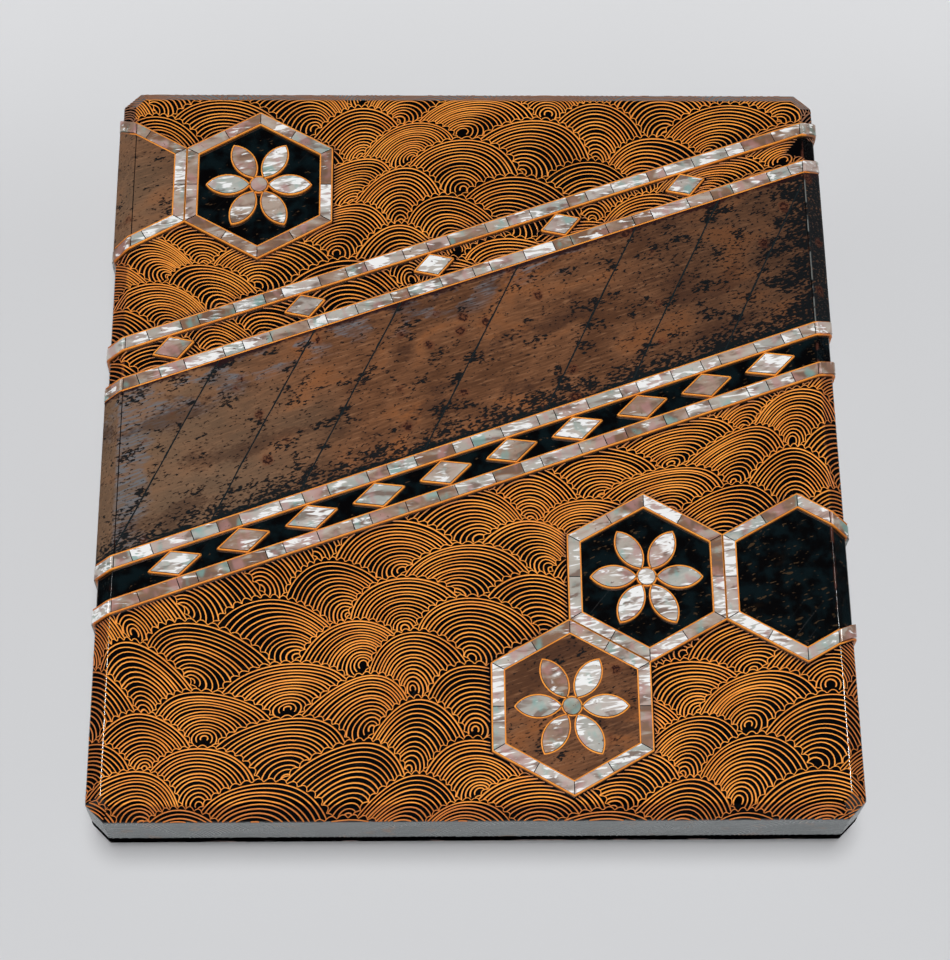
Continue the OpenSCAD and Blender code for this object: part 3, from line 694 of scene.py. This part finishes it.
def inlay_gap(xy):
    """How far a point of the plan lies outside the inlay and the bare windows; less than 0 inside."""
    u = (xy - sash_middle) @ sash_along
    v = (xy - sash_middle) @ sash_across
    beside = np.abs((u / (2 * lozenge_pitch) + 0.5) % 1 - 0.5) * 2 * lozenge_pitch
    lozenge = beside / lozenge_half[0] + np.abs(v - channel_middle) / lozenge_half[1] - 1
    lozenge *= lozenge_half[0] * lozenge_half[1] / math.hypot(*lozenge_half)
    channel = np.minimum.reduce([v - strip_edges[1], strip_edges[2] - v, lozenge])
    gaps = [np.maximum(np.abs(v) - strip_edges[3], channel)]
    gaps += [-hexagon_depth(xy, middle) for middle in hexagons]
    return np.minimum.reduce(gaps)


wave_r = 18 * mm
least_r = 0.8 * mm
arc_spare = 0.6
line_shake = 0.10 * mm
loop_h = 1.4 * mm
loop_count = 21
loop_foot = wave_r + 0.25 * mm
line_pitch = 1.2 * mm
line_w = 0.51 * mm
line_h = 0.14 * mm
line_sunk = 0.05 * mm
side_h = 0.07 * mm
loop_spacing = 0.42 * mm
loop_weight = 0.6
scale_r = wave_r + loop_h
row_pitch = scale_r / 2
fine_step = 0.15 * mm
arris_spacing = 0.3 * mm
least_run = 6


def hand(q):
    """The slow drift of a drawing made by hand over the whole lid."""
    x, y = q[:, 0] / mm, q[:, 1] / mm
    dx = 3.6 * np.sin(0.061 * y + 0.6) + 2.6 * np.sin(0.083 * x + 0.037 * y + 2.1)
    dy = 3.4 * np.sin(0.057 * x + 1.9) + 2.2 * np.sin(0.081 * y - 0.052 * x + 0.4)
    return q + np.column_stack([dx, dy]) * mm


def scale_middle(row, column):
    return np.array([(column + (row % 2) / 2) * 2 * scale_r, row * row_pitch])


def crest(turn):
    """The reach of a scale's crest, with its row of loops, at an angle."""
    return loop_foot + np.abs(np.sin(turn * loop_count)) ** 0.7 * (scale_r - loop_foot)


def covered(q, row, column):
    """Which points lie under the scales in front."""
    hidden = np.zeros(len(q), bool)
    for step in range(1, 5):
        for side in (-1, 0, 1):
            away = q - scale_middle(row - step, column + side)
            hidden |= np.hypot(*away.T) < crest(np.arctan2(away[:, 1], away[:, 0])) - line_w / 4
    return hidden


def thinned(points, t, spacing):
    """Picks the points that a smooth line needs, closer together where the lid turns."""
    walked = np.concatenate([[0], np.cumsum(np.linalg.norm(np.diff(points, axis=0), axis=1))])
    near_arris = (np.abs(t) < 0.8 * mm) | (np.abs(t - bevel_l) < arris_r)
    keep = [0]
    for i in range(1, len(points) - 1):
        if walked[i] - walked[keep[-1]] >= (arris_spacing if near_arris[i] else spacing):
            keep.append(i)
    return keep + [len(points) - 1]


def draw(lines, q, visible, spacing, weight):
    """Adds the visible runs of one brush line to lines, laid over the lid."""
    points, normals, t, fits = folded(hand(q))
    gap = inlay_gap(points[:, :2])
    seen = np.where(visible & fits & (gap > bare_edge), np.where(t > bevel_l, 2, 1), 0)
    ends = np.flatnonzero(np.diff(np.concatenate([[0], seen, [0]])))
    for start, end in zip(ends, ends[1:]):
        if end - start < least_run or seen[start] == 0:
            continue
        kept = start + np.array(thinned(points[start:end], t[start:end], spacing))
        heft = weight * (1 + 0.14 * np.sin(kept * 0.045 * fine_step / mm + start))
        heft[[0, -1]] *= 0.7
        middle = points[kept].mean(0)
        place = "front" if (middle[:2] - sash_middle) @ sash_across < 0 else "back"
        if seen[start] == 2:
            place = "side"
        lift = (side_h if place == "side" else line_h) / 2 - line_sunk
        lines[place].append({
            "points": points[kept] + normals[kept] * lift, "facing": normals[kept], "heft": heft,
            "bright": np.clip((gap[kept] - bare_edge) / (1.6 * mm), 0, 1)})


def wave_lines():
    """All the brush lines, by the part of the lid that they lie on."""
    chance = random.Random(31)
    lines = {"front": [], "back": [], "side": []}
    loops = {"front": [], "back": [], "side": []}
    last_row = math.ceil((lid_high.y + side_end + scale_r) / row_pitch)
    last_column = math.ceil((lid_high.x + side_end + scale_r) / (2 * scale_r))
    for row in range(-last_row, last_row + 1):
        for column in range(-last_column, last_column + 1):
            middle = scale_middle(row, column)
            lean = np.array([chance.uniform(-5, 5), chance.uniform(-1, 2.5)]) * mm
            radius = wave_r
            while radius > least_r:
                steps = max(12, int(radius * (math.pi + 2 * arc_spare) / fine_step))
                turn = np.linspace(-arc_spare, math.pi + arc_spare, steps)
                shake = line_shake * np.sin(turn * chance.uniform(2, 5) + chance.uniform(0, 6))
                r = radius + shake * min(1, radius / (6 * mm))
                drift = lean * (1 - radius / wave_r)
                q = middle + drift + np.column_stack([r * np.cos(turn), r * np.sin(turn)])
                spacing = min(1.4 * mm, 0.3 * mm + 0.16 * radius)
                draw(lines, q, ~covered(q, row, column), spacing, chance.uniform(0.82, 1.15))
                radius -= line_pitch * chance.uniform(0.9, 1.1)
            turn = np.linspace(0, math.pi, loop_count * 24)
            r = crest(turn)
            q = middle + np.column_stack([r * np.cos(turn), r * np.sin(turn)])
            draw(loops, q, ~covered(q, row, column), loop_spacing, loop_weight)
    return lines, loops


def plain_run(points, normals, heft=1.0):
    """A line that is bright all along."""
    whole = np.ones(len(points))
    return {"points": points, "facing": normals, "heft": whole * heft, "bright": whole}


def line_paths(name, runs):
    """A mesh of open paths. Each point has the lid's normal, the brush's weight, and its brightness."""
    counts = [len(run["points"]) for run in runs]
    first = np.cumsum([0] + counts[:-1])
    edges = np.concatenate([np.column_stack([np.arange(a, a + n - 1), np.arange(a + 1, a + n)])
                            for a, n in zip(first, counts)])
    joined = {key: np.concatenate([run[key] for run in runs]).astype(np.float32) for key in runs[0]}
    mesh = bpy.data.meshes.new(name)
    mesh.from_pydata(joined["points"], edges, [])
    for key, kind, field in (("facing", "FLOAT_VECTOR", "vector"), ("heft", "FLOAT", "value"),
                             ("bright", "FLOAT", "value")):
        mesh.attributes.new(key, kind, "POINT").data.foreach_set(field, joined[key].ravel())
    return stood(name, mesh)


def raised_line_tree():
    """Geometry nodes that sweep a low, blunt ridge along paths, its foot on the surface."""
    tree = bpy.data.node_groups.new("raised line", "GeometryNodeTree")
    for name, kind in (("Paths", "NodeSocketGeometry"), ("Foot width", "NodeSocketFloat"),
                       ("Crown width", "NodeSocketFloat"), ("Height", "NodeSocketFloat"),
                       ("Finish", "NodeSocketMaterial")):
        tree.interface.new_socket(name, in_out="INPUT", socket_type=kind)
    tree.interface.new_socket("Ridges", in_out="OUTPUT", socket_type="NodeSocketGeometry")

    net = Net(tree)
    given = {socket.name: Wire(net, socket) for socket in tree.nodes.new("NodeGroupInput").outputs}
    facing = net.node("GeometryNodeInputNamedAttribute", {"data_type": "FLOAT_VECTOR"}, {"Name": "facing"})
    heft = net.node("GeometryNodeInputNamedAttribute", {"data_type": "FLOAT"}, {"Name": "heft"})
    curve = net.node("GeometryNodeMeshToCurve", {}, {"Mesh": given["Paths"]})
    curve = net.node("GeometryNodeSetCurveNormal", {"mode": "FREE"}, {"Curve": curve, "Normal": facing})
    outline = net.node("GeometryNodeCurvePrimitiveQuadrilateral", {"mode": "TRAPEZOID"}, {
        "Height": given["Height"], "Bottom Width": given["Foot width"],
        "Top Width": given["Crown width"], "Offset": 0.0})
    outline = net.node("GeometryNodeTransform", {}, {"Geometry": outline, "Rotation": (0, 0, -math.pi / 2)})
    ridge = net.node("GeometryNodeCurveToMesh", {}, {
        "Curve": curve, "Profile Curve": outline, "Scale": heft, "Fill Caps": True})
    ridge = net.node("GeometryNodeRealizeInstances", {}, {"Geometry": ridge})
    ridge = net.node("GeometryNodeSetMaterial", {}, {"Geometry": ridge, "Material": given["Finish"]})
    net.set(tree.nodes.new("NodeGroupOutput").inputs["Ridges"], ridge)
    return tree


raised_line = raised_line_tree()


def sweep(piece, foot, crown, height, finish):
    """Runs the raised-line nodes over a piece of paths and keeps the mesh that they make."""
    ridge = piece.modifiers.new("ridge", "NODES")
    ridge.node_group = raised_line
    sizes = {"Foot width": foot, "Crown width": crown, "Height": height, "Finish": finish.material}
    for item in raised_line.interface.items_tree:
        if item.in_out == "INPUT" and item.name in sizes:
            ridge[item.identifier] = sizes[item.name]
    settle(piece)
    piece.data.shade_smooth()
    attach(piece, "lid")


def line_gold():
    """Bright on the top; redder and darker on the bevels, and grey brown on the back bevel, as painted
    shade; grey brown beside the inlay.
    """
    m = gold_lacquer("gold of the wave lines", (0.96, 0.352, 0.041), (0.81, 0.26, 0.027), 0.22)
    gold = m.shader.inputs["Base Color"].links[0].from_socket
    y, z = (part_of(m.at, k) for k in (1, 2))
    beside = 1 - m.node("ShaderNodeAttribute", {"attribute_name": "bright"}, {}, "Fac")
    # Painted shade: the lines on the bevels are painted redder and darker, and on the back bevel darker
    # still, where less light falls.
    red = past(z, lid_high.z - 0.1 * mm, lid_high.z - 0.6 * mm)
    body = tint(red, Wire(m, gold), (0.62, 0.185, 0.028))
    body = tint(red * past(y, 60 * mm, 110 * mm) * 0.7, body, (0.20, 0.11, 0.07))
    return m.give({"Base Color": tint(beside * 0.75, body, (0.20, 0.095, 0.06))})


def side_gold():
    """The lines on the upright sides, rubbed down and faint, under the same blue-grey painted sheen as the
    lacquer: a painted reflection of the pale table.
    """
    m = Finish("rubbed lines under painted sheen", {"IOR": 1.5, "Roughness": 0.35})
    traces = past(clouds(m, 7 * mm, 3), 0.56, 0.68)
    # Painted reflection: the blue-grey ground is the pale table seen in the sides, painted in.
    return m.give({"Base Color": tint(traces * 0.5, (0.130, 0.147, 0.147), (0.36, 0.16, 0.05))})


line_finish = line_gold()
line_finishes = {"front": line_finish, "back": line_finish, "side": side_gold()}
lines, loops = wave_lines()
for kind, runs in (("wave_lines", lines), ("crest_loops", loops)):
    for place, finish in line_finishes.items():
        piece = line_paths(f"{kind}_{place}", runs[place])
        sweep(piece, line_w, line_w * 0.55, side_h if place == "side" else line_h, finish)


# ---- Lead sash ----
# Sheet lead, hammered flat and glued down in panels with slanting joints, then browned. It is pitted, scored
# along its length, rusty in patches and rubbed grey towards the edges, where a bluish sheen is painted on.
sash_half = 25 * mm
sash_h = 0.8 * mm
sash_arris = 105.2 * mm
panel_w = 34
panel_stray = 5
stray_turn = 97
panel_joints = [(panel_w * i + panel_stray * math.sin(math.radians(stray_turn * i))) * mm
                for i in range(-4, 5)]


def browned_lead():
    """u runs along the sash and v across it. The hexagons' lead is as brown, without the edges' wear and
    painted sheen.
    """
    m = Finish("browned lead", {"IOR": 1.5, "Specular IOR Level": 0.06})
    x = part_of(m.at, 0)
    y = part_of(m.at, 1) - float(sash_middle[1])
    u = x * math.cos(sash_angle) + y * math.sin(sash_angle)
    v = y * math.cos(sash_angle) - x * math.sin(sash_angle)
    on_sash = past(abs(v), sash_half + 1 * mm, sash_half)

    def drawn(size, detail, stretch, swirl=0.0):
        return clouds(m, size, detail, (stretch, 1, 1), sash_angle, swirl=swirl)

    streaks = drawn(0.7 * mm, 4, 9, 0.3)
    broad = drawn(14 * mm, 4, 2, 0.6)
    patches = drawn(34 * mm, 3, 1.5)
    grit = drawn(0.6 * mm, 3, 2.2)
    lumps = drawn(5 * mm, 4, 2)
    brown = past(streaks * 0.35 + broad * 0.65, 0.36, 0.62)
    body = tint(brown, (0.088, 0.036, 0.017), (0.225, 0.096, 0.044))
    body = tint(past(broad, 0.50, 0.66) * 0.65, body, (0.275, 0.092, 0.026))
    body = tint(past(streaks, 0.58, 0.70) * 0.4, body, (0.31, 0.155, 0.078))
    left = past(u + (patches - 0.5) * 70 * mm, -40 * mm, -95 * mm)
    right = past(u + (broad - 0.5) * 70 * mm, 25 * mm, 95 * mm)
    body = tint(left * 0.55, body, (0.20, 0.135, 0.085))
    body = tint(right * 0.5, body, (0.045, 0.030, 0.022))

    # Rubbed to grey metal along its back edge and its left arris, with a painted bluish sheen there
    rubbed_blue_sheen = past(lumps, 0.47, 0.56) * past(v - u * 0.1 + (patches - 0.5) * 40 * mm, 16 * mm, 26 * mm)
    left_arris = past(x + (lumps - 0.5) * 22 * mm, -95 * mm, -99 * mm) * past(x, -106.5 * mm, -105 * mm)
    grey = on_sash * (rubbed_blue_sheen + left_arris).math("MINIMUM", 1.0) * (0.15 + 0.6 * past(streaks, 0.45, 0.60))
    body = tint(grey, body, (0.135, 0.160, 0.185))

    # Black pits and crackle, thickest in patches, by the joints, along the front edge and at the right
    low_edge = on_sash * past(v + (lumps - 0.5) * 20 * mm, -15 * mm, -24 * mm)
    black_end = past(x + (lumps - 0.5) * 34 * mm, 92 * mm, 106 * mm)
    field = past(drawn(6 * mm, 3, 1.6), 0.54, 0.66)
    by_joint = sum(past(abs(u - v - joint), 5 * mm, 0.8 * mm) for joint in panel_joints)
    smear = by_joint * past(lumps, 0.50, 0.62)
    worst = (0.9 * field + smear + low_edge + 1.5 * black_end + 0.25 * right).math("MINIMUM", 1.6)
    pitted = grit + 0.17 * worst - 0.03
    crackle = past(pitted, 0.60, 0.67)
    smudge = past(drawn(10 * mm, 4, 2.4, 0.4) + grit * 0.3, 0.68, 0.80)
    body = tint(smudge * 0.55 + smear * 0.3, body, (0.050, 0.022, 0.014))
    body = tint(past(pitted, 0.53, 0.64) * 0.5, body, (0.045, 0.022, 0.014))
    body = tint(crackle * 0.95, body, (0.004, 0.007, 0.009))
    seep = past(abs(v) + (grit + lumps * 1.6 - 1.3) * 2.2 * mm, 22.9 * mm, 24.2 * mm)
    seeped = tint(past(v, -1 * mm, 1 * mm), (0.004, 0.009, 0.011), (0.020, 0.006, 0.007))
    body = tint(on_sash * seep * 0.95, body, seeped)

    # Rusty spots with a dark ring
    wobble = m.node("ShaderNodeTexNoise", {}, {"Vector": m.at, "Scale": 900}, "Color")
    wobbly = m.node("ShaderNodeVectorMath", {"operation": "MULTIPLY_ADD"}, {
        0: wobble, 1: (2.2 * mm,) * 3, 2: m.at})
    lots, crater = cells(m, 8.5 * mm, wobbly)
    struck = past(lots[0] + (patches - 0.5), 0.50, 0.56)
    halo = past(crater, 0.28, 0.12) * struck
    rim = past(crater, 0.17, 0.14) * past(crater, 0.06, 0.10) * struck
    body = tint(halo * 0.7, body, (0.120, 0.036, 0.016))
    body = tint(rim * past(grit, 0.36, 0.46) * 0.9, body, (0.016, 0.005, 0.005))
    arris = past(abs(x - sash_arris), 0.4 * mm, 0.15 * mm) * past(lumps, 0.42, 0.52)
    return m.give({
        "Base Color": tint(arris * 0.8, body, (0.20, 0.21, 0.20)),
        "Roughness": 0.48 - 0.12 * right + 0.15 * halo,
        "Normal": relief(streaks * 0.25 - rim * 0.6 + broad * 0.8 - crackle * 0.5, 0.25 * mm, 0.9)})


def joint_runs():
    """The old glue that stands in the slanting joints between the panels, uneven in width."""
    chance = random.Random(12)
    runs = []
    for i, joint in enumerate(panel_joints):
        v = np.arange(-sash_half, sash_half, 0.7 * mm)
        u = joint + v + inlay_joint / 2
        wander = np.cumsum([chance.uniform(-0.05, 0.05) for k in v]) * mm
        xy = sash_middle + np.outer(u + wander, sash_along) + np.outer(v, sash_across)
        flat = face_of(xy)[1] < -0.6 * mm
        heft = 0.75 + 0.5 * np.abs(np.sin(v / mm * 0.35 + i)) * np.array([chance.random() for k in v])
        if flat.sum() < 4:
            continue
        points = np.column_stack([xy, np.full(len(v), lid_high.z + sash_h)])[flat]
        runs.append(plain_run(points, np.tile([0, 0, 1], (len(points), 1)), heft[flat]))
    return runs


def glued(c, n):
    """The walls of the pieces on the flat of the lid, which the old glue between them darkens."""
    return n.z < 0.95 and c.z > lid_high.z and abs(c.x) < lid_high.x - bevel_run


lead = browned_lead()
glue = Finish("old glue", {"Base Color": (0.006, 0.011, 0.013), "Roughness": 0.7, "Specular IOR Level": 0.1})
for kind in ("sash", "hexagons"):
    piece = softened(f"lead_{kind}", f"{kind}_of_lead", 0.18 * mm, lead)
    line_with(piece, glue, glued)
    stands_for(piece, f"lead_{kind}", "lid")
sweep(line_paths("glue_in_joints", joint_runs()), 0.6 * mm, 0.45 * mm, 0.08 * mm, glue)


# ---- Mother-of-pearl ----
# Strips, lozenges, hexagons and petals sawn from thick shell and glued down piece by piece.
# Each piece comes from another part of the shell, so each has its own tone and its own painted flare, a
# painted highlight.
def toned(piece, seed):
    """Stores a random tone for each separate piece of shell in the mesh."""
    shape = bmesh.new()
    shape.from_mesh(piece.data)
    shape.verts.ensure_lookup_table()
    tones = np.full(len(shape.verts), -1.0, np.float32)
    chance = random.Random(seed)
    for first in shape.verts:
        if tones[first.index] >= 0:
            continue
        tone = chance.random()
        reached = [first]
        tones[first.index] = tone
        while reached:
            for edge in reached.pop().link_edges:
                for v in edge.verts:
                    if tones[v.index] < 0:
                        tones[v.index] = tone
                        reached.append(v)
    shape.free()
    stored = piece.data.attributes.new("tone", "FLOAT", "POINT")
    stored.data.foreach_set("value", tones)


def nacre():
    """Bands of painted shade and sheen, and ripples of silvery painted flare (a painted highlight), over a
    pale, pink, green or brown ground. A piece's tone picks its ground, shifts its pattern, and dims its
    painted flares."""
    m = Finish("mother-of-pearl", {"IOR": 1.6, "Coat Weight": 0.3, "Coat Roughness": 0.08})
    tone = m.node("ShaderNodeAttribute", {"attribute_name": "tone"}, {}, "Fac")
    shift = m.node("ShaderNodeCombineXYZ", {}, {0: tone, 1: tone * 3.7, 2: tone * 7.1})
    own_place = m.node("ShaderNodeVectorMath", {"operation": "ADD"}, {0: m.at, 1: shift})
    bands = clouds(m, 4.0 * mm, 3, (2.2, 0.8, 1), 0.2, own_place, 0.6)
    ripples = clouds(m, 2.4 * mm, 2, (2.6, 0.6, 1), 0.15, own_place, 1.2)
    drift = clouds(m, 8 * mm, 2, at=own_place)
    hue = clouds(m, 5 * mm, 2, (1, 1.6, 1), 0.2, own_place)
    body = m.node("ShaderNodeValToRGB", {"stops": [
        (0.0, (0.51, 0.43, 0.38)), (0.20, (0.56, 0.53, 0.49)), (0.38, (0.50, 0.35, 0.30)),
        (0.52, (0.40, 0.45, 0.42)), (0.66, (0.50, 0.39, 0.32)), (0.82, (0.34, 0.22, 0.155)),
        (0.93, (0.24, 0.125, 0.07))]}, {0: tone})
    # Painted shade and sheen: the bands darken the ground to brown and lighten it, as the shell's play of
    # light would.
    body = tint(past(bands, 0.50, 0.36) * 0.85, body, (0.18, 0.105, 0.075))
    body = tint(past(bands, 0.50, 0.66) * 0.6, body, (0.60, 0.56, 0.50))
    body = tint(past(hue, 0.52, 0.68) * 0.55, body, (0.54, 0.27, 0.26))
    body = tint(past(hue, 0.44, 0.28) * 0.6, body, (0.20, 0.45, 0.42))
    # Painted highlight: the flares are painted into the colour.
    painted_flare = past(ripples + (drift - 0.5) * 0.7 - tone * 0.2, 0.45, 0.57)
    body = tint(painted_flare * 0.95, body, (0.99, 0.99, 0.98))
    chips = past(clouds(m, 1.3 * mm, 4, at=own_place), 0.68, 0.73)
    return m.give({
        "Base Color": tint(chips * 0.8, body, (0.10, 0.045, 0.025)),
        "Metallic": 0.08 * (1 - painted_flare),
        "Roughness": 0.28 - 0.1 * painted_flare + 0.2 * chips,
        "Normal": relief(bands + drift * 0.5 - chips * 0.5, 0.08 * mm, 0.6)})


shell = nacre()
for seed, kind in enumerate(("strips", "lozenges", "hexagons", "flowers")):
    piece = softened(f"shell_{kind}", f"{kind}_of_shell", 0.12 * mm, shell)
    line_with(piece, glue, glued)
    toned(piece, seed)
    stands_for(piece, f"shell_{kind}", "lid")


# ---- Gold lines round the inlay ----
# Once the pieces lie flat, a thin line is drawn round each in the same raised gold as the
# waves, to hide its glued edge. It climbs from the lacquer to the top of the piece.
border_w = 0.55 * mm
border_h = 1.0 * mm
border_step = 0.6 * mm
border_lap = 0.05 * mm
border_out = border_w / 2 - border_lap
petal_l = 13 * mm
petal_w = 6.5 * mm
heart_r = 2.6 * mm
heart_sides = 24
petal_from = heart_r + 0.5 * mm + petal_l / 2


def draped(corners, closed):
    """The runs of a plan outline over the lid, each carried on down the side where it leaves."""
    ends = corners + [corners[0]] if closed else corners
    dense = []
    for a, b in zip(ends, ends[1:]):
        count = max(1, round(math.dist(a, b) / border_step))
        dense += [np.array(a) + (np.array(b) - np.array(a)) * i / count for i in range(count)]
    dense = np.array(dense + [np.array(ends[-1])])
    face, out, along = face_of(dense)
    inside = out <= bevel_run
    t = np.where(out < 0, out, out * bevel_l / bevel_run)
    edges = np.flatnonzero(np.diff(np.concatenate([[0], inside.astype(int), [0]])))
    down = np.arange(bevel_l + 0.2 * mm, side_end, border_step)
    runs = []
    for start, end in zip(edges[::2], edges[1::2]):
        before = len(down) if start > 0 else 0
        after = len(down) if end < len(dense) else 0
        run_face, run_along = (np.pad(a[start:end], (before, after), "edge") for a in (face, along))
        run_t = np.concatenate([down[::-1][:before], t[start:end], down[:after]])
        points, normals = on_lid(run_face, run_t, run_along)
        runs.append(plain_run(points + normals * (border_h / 2 - line_sunk), normals))
    return runs


def sash_point(u, v):
    """A point of the plan, u along the sash from its middle and v across it."""
    return sash_middle + u * sash_along + v * sash_across


def ring(middle, reach, sides):
    """The corners of a ring of equal sides, each reach metres from its middle."""
    turn = math.pi / sides * (2 * np.arange(sides) + 1)
    corners = np.column_stack([np.cos(turn), np.sin(turn)])
    return list(middle + reach / math.cos(math.pi / sides) * corners)


def lozenge_outline(u, v, half_w, half_h):
    side = math.hypot(half_w, half_h)
    grown_w = half_w + border_out * side / half_h
    grown_h = half_h + border_out * side / half_w
    return [sash_point(u + a * grown_w, v + b * grown_h) for a, b in ((1, 0), (0, 1), (-1, 0), (0, -1))]


def petal_outline(middle, turn):
    """The two bows of a leaf-shaped petal, drawn a little outside it."""
    bow_r = (petal_l ** 2 / 4 + petal_w ** 2 / 4) / petal_w
    bow_middle = bow_r - petal_w / 2
    reach = bow_r + border_out
    half = math.acos(bow_middle / reach)
    swing = np.linspace(-half, half, 12)[:-1]
    bow = np.column_stack([reach * np.sin(swing), reach * np.cos(swing) - bow_middle])
    outline = np.concatenate([bow, -bow]) + [petal_from, 0]
    way = np.array([(math.cos(turn), math.sin(turn)), (-math.sin(turn), math.cos(turn))])
    return list(outline @ way + middle)


sash_reach = 160 * mm
borders = []
for edge, out in zip(strip_edges, (-1, 1, -1, 1)):
    for v in (edge + out * border_out, -edge - out * border_out):
        borders += draped([sash_point(-sash_reach, v), sash_point(sash_reach, v)], False)
for middle in hexagons:
    borders += draped(ring(middle, hexagon_flat + border_out, 6), True)
    borders += draped(ring(middle, hexagon_flat - hexagon_frame - border_out, 6), True)
for k in range(-5, 5):
    borders += draped(lozenge_outline(k * lozenge_pitch, -channel_middle, *wide_lozenge_half), True)
    if k % 2 == 0:
        borders += draped(lozenge_outline(k * lozenge_pitch, channel_middle, *lozenge_half), True)
for middle in hexagons[[0, 1, 3]]:
    borders += draped(ring(middle, heart_r + border_out, heart_sides), True)
    for k in range(6):
        borders += draped(petal_outline(middle, math.radians(60 * k)), True)
inlay_borders = line_paths("inlay_borders", borders)
sweep(inlay_borders, border_w, border_w * 0.7, border_h, line_finish)
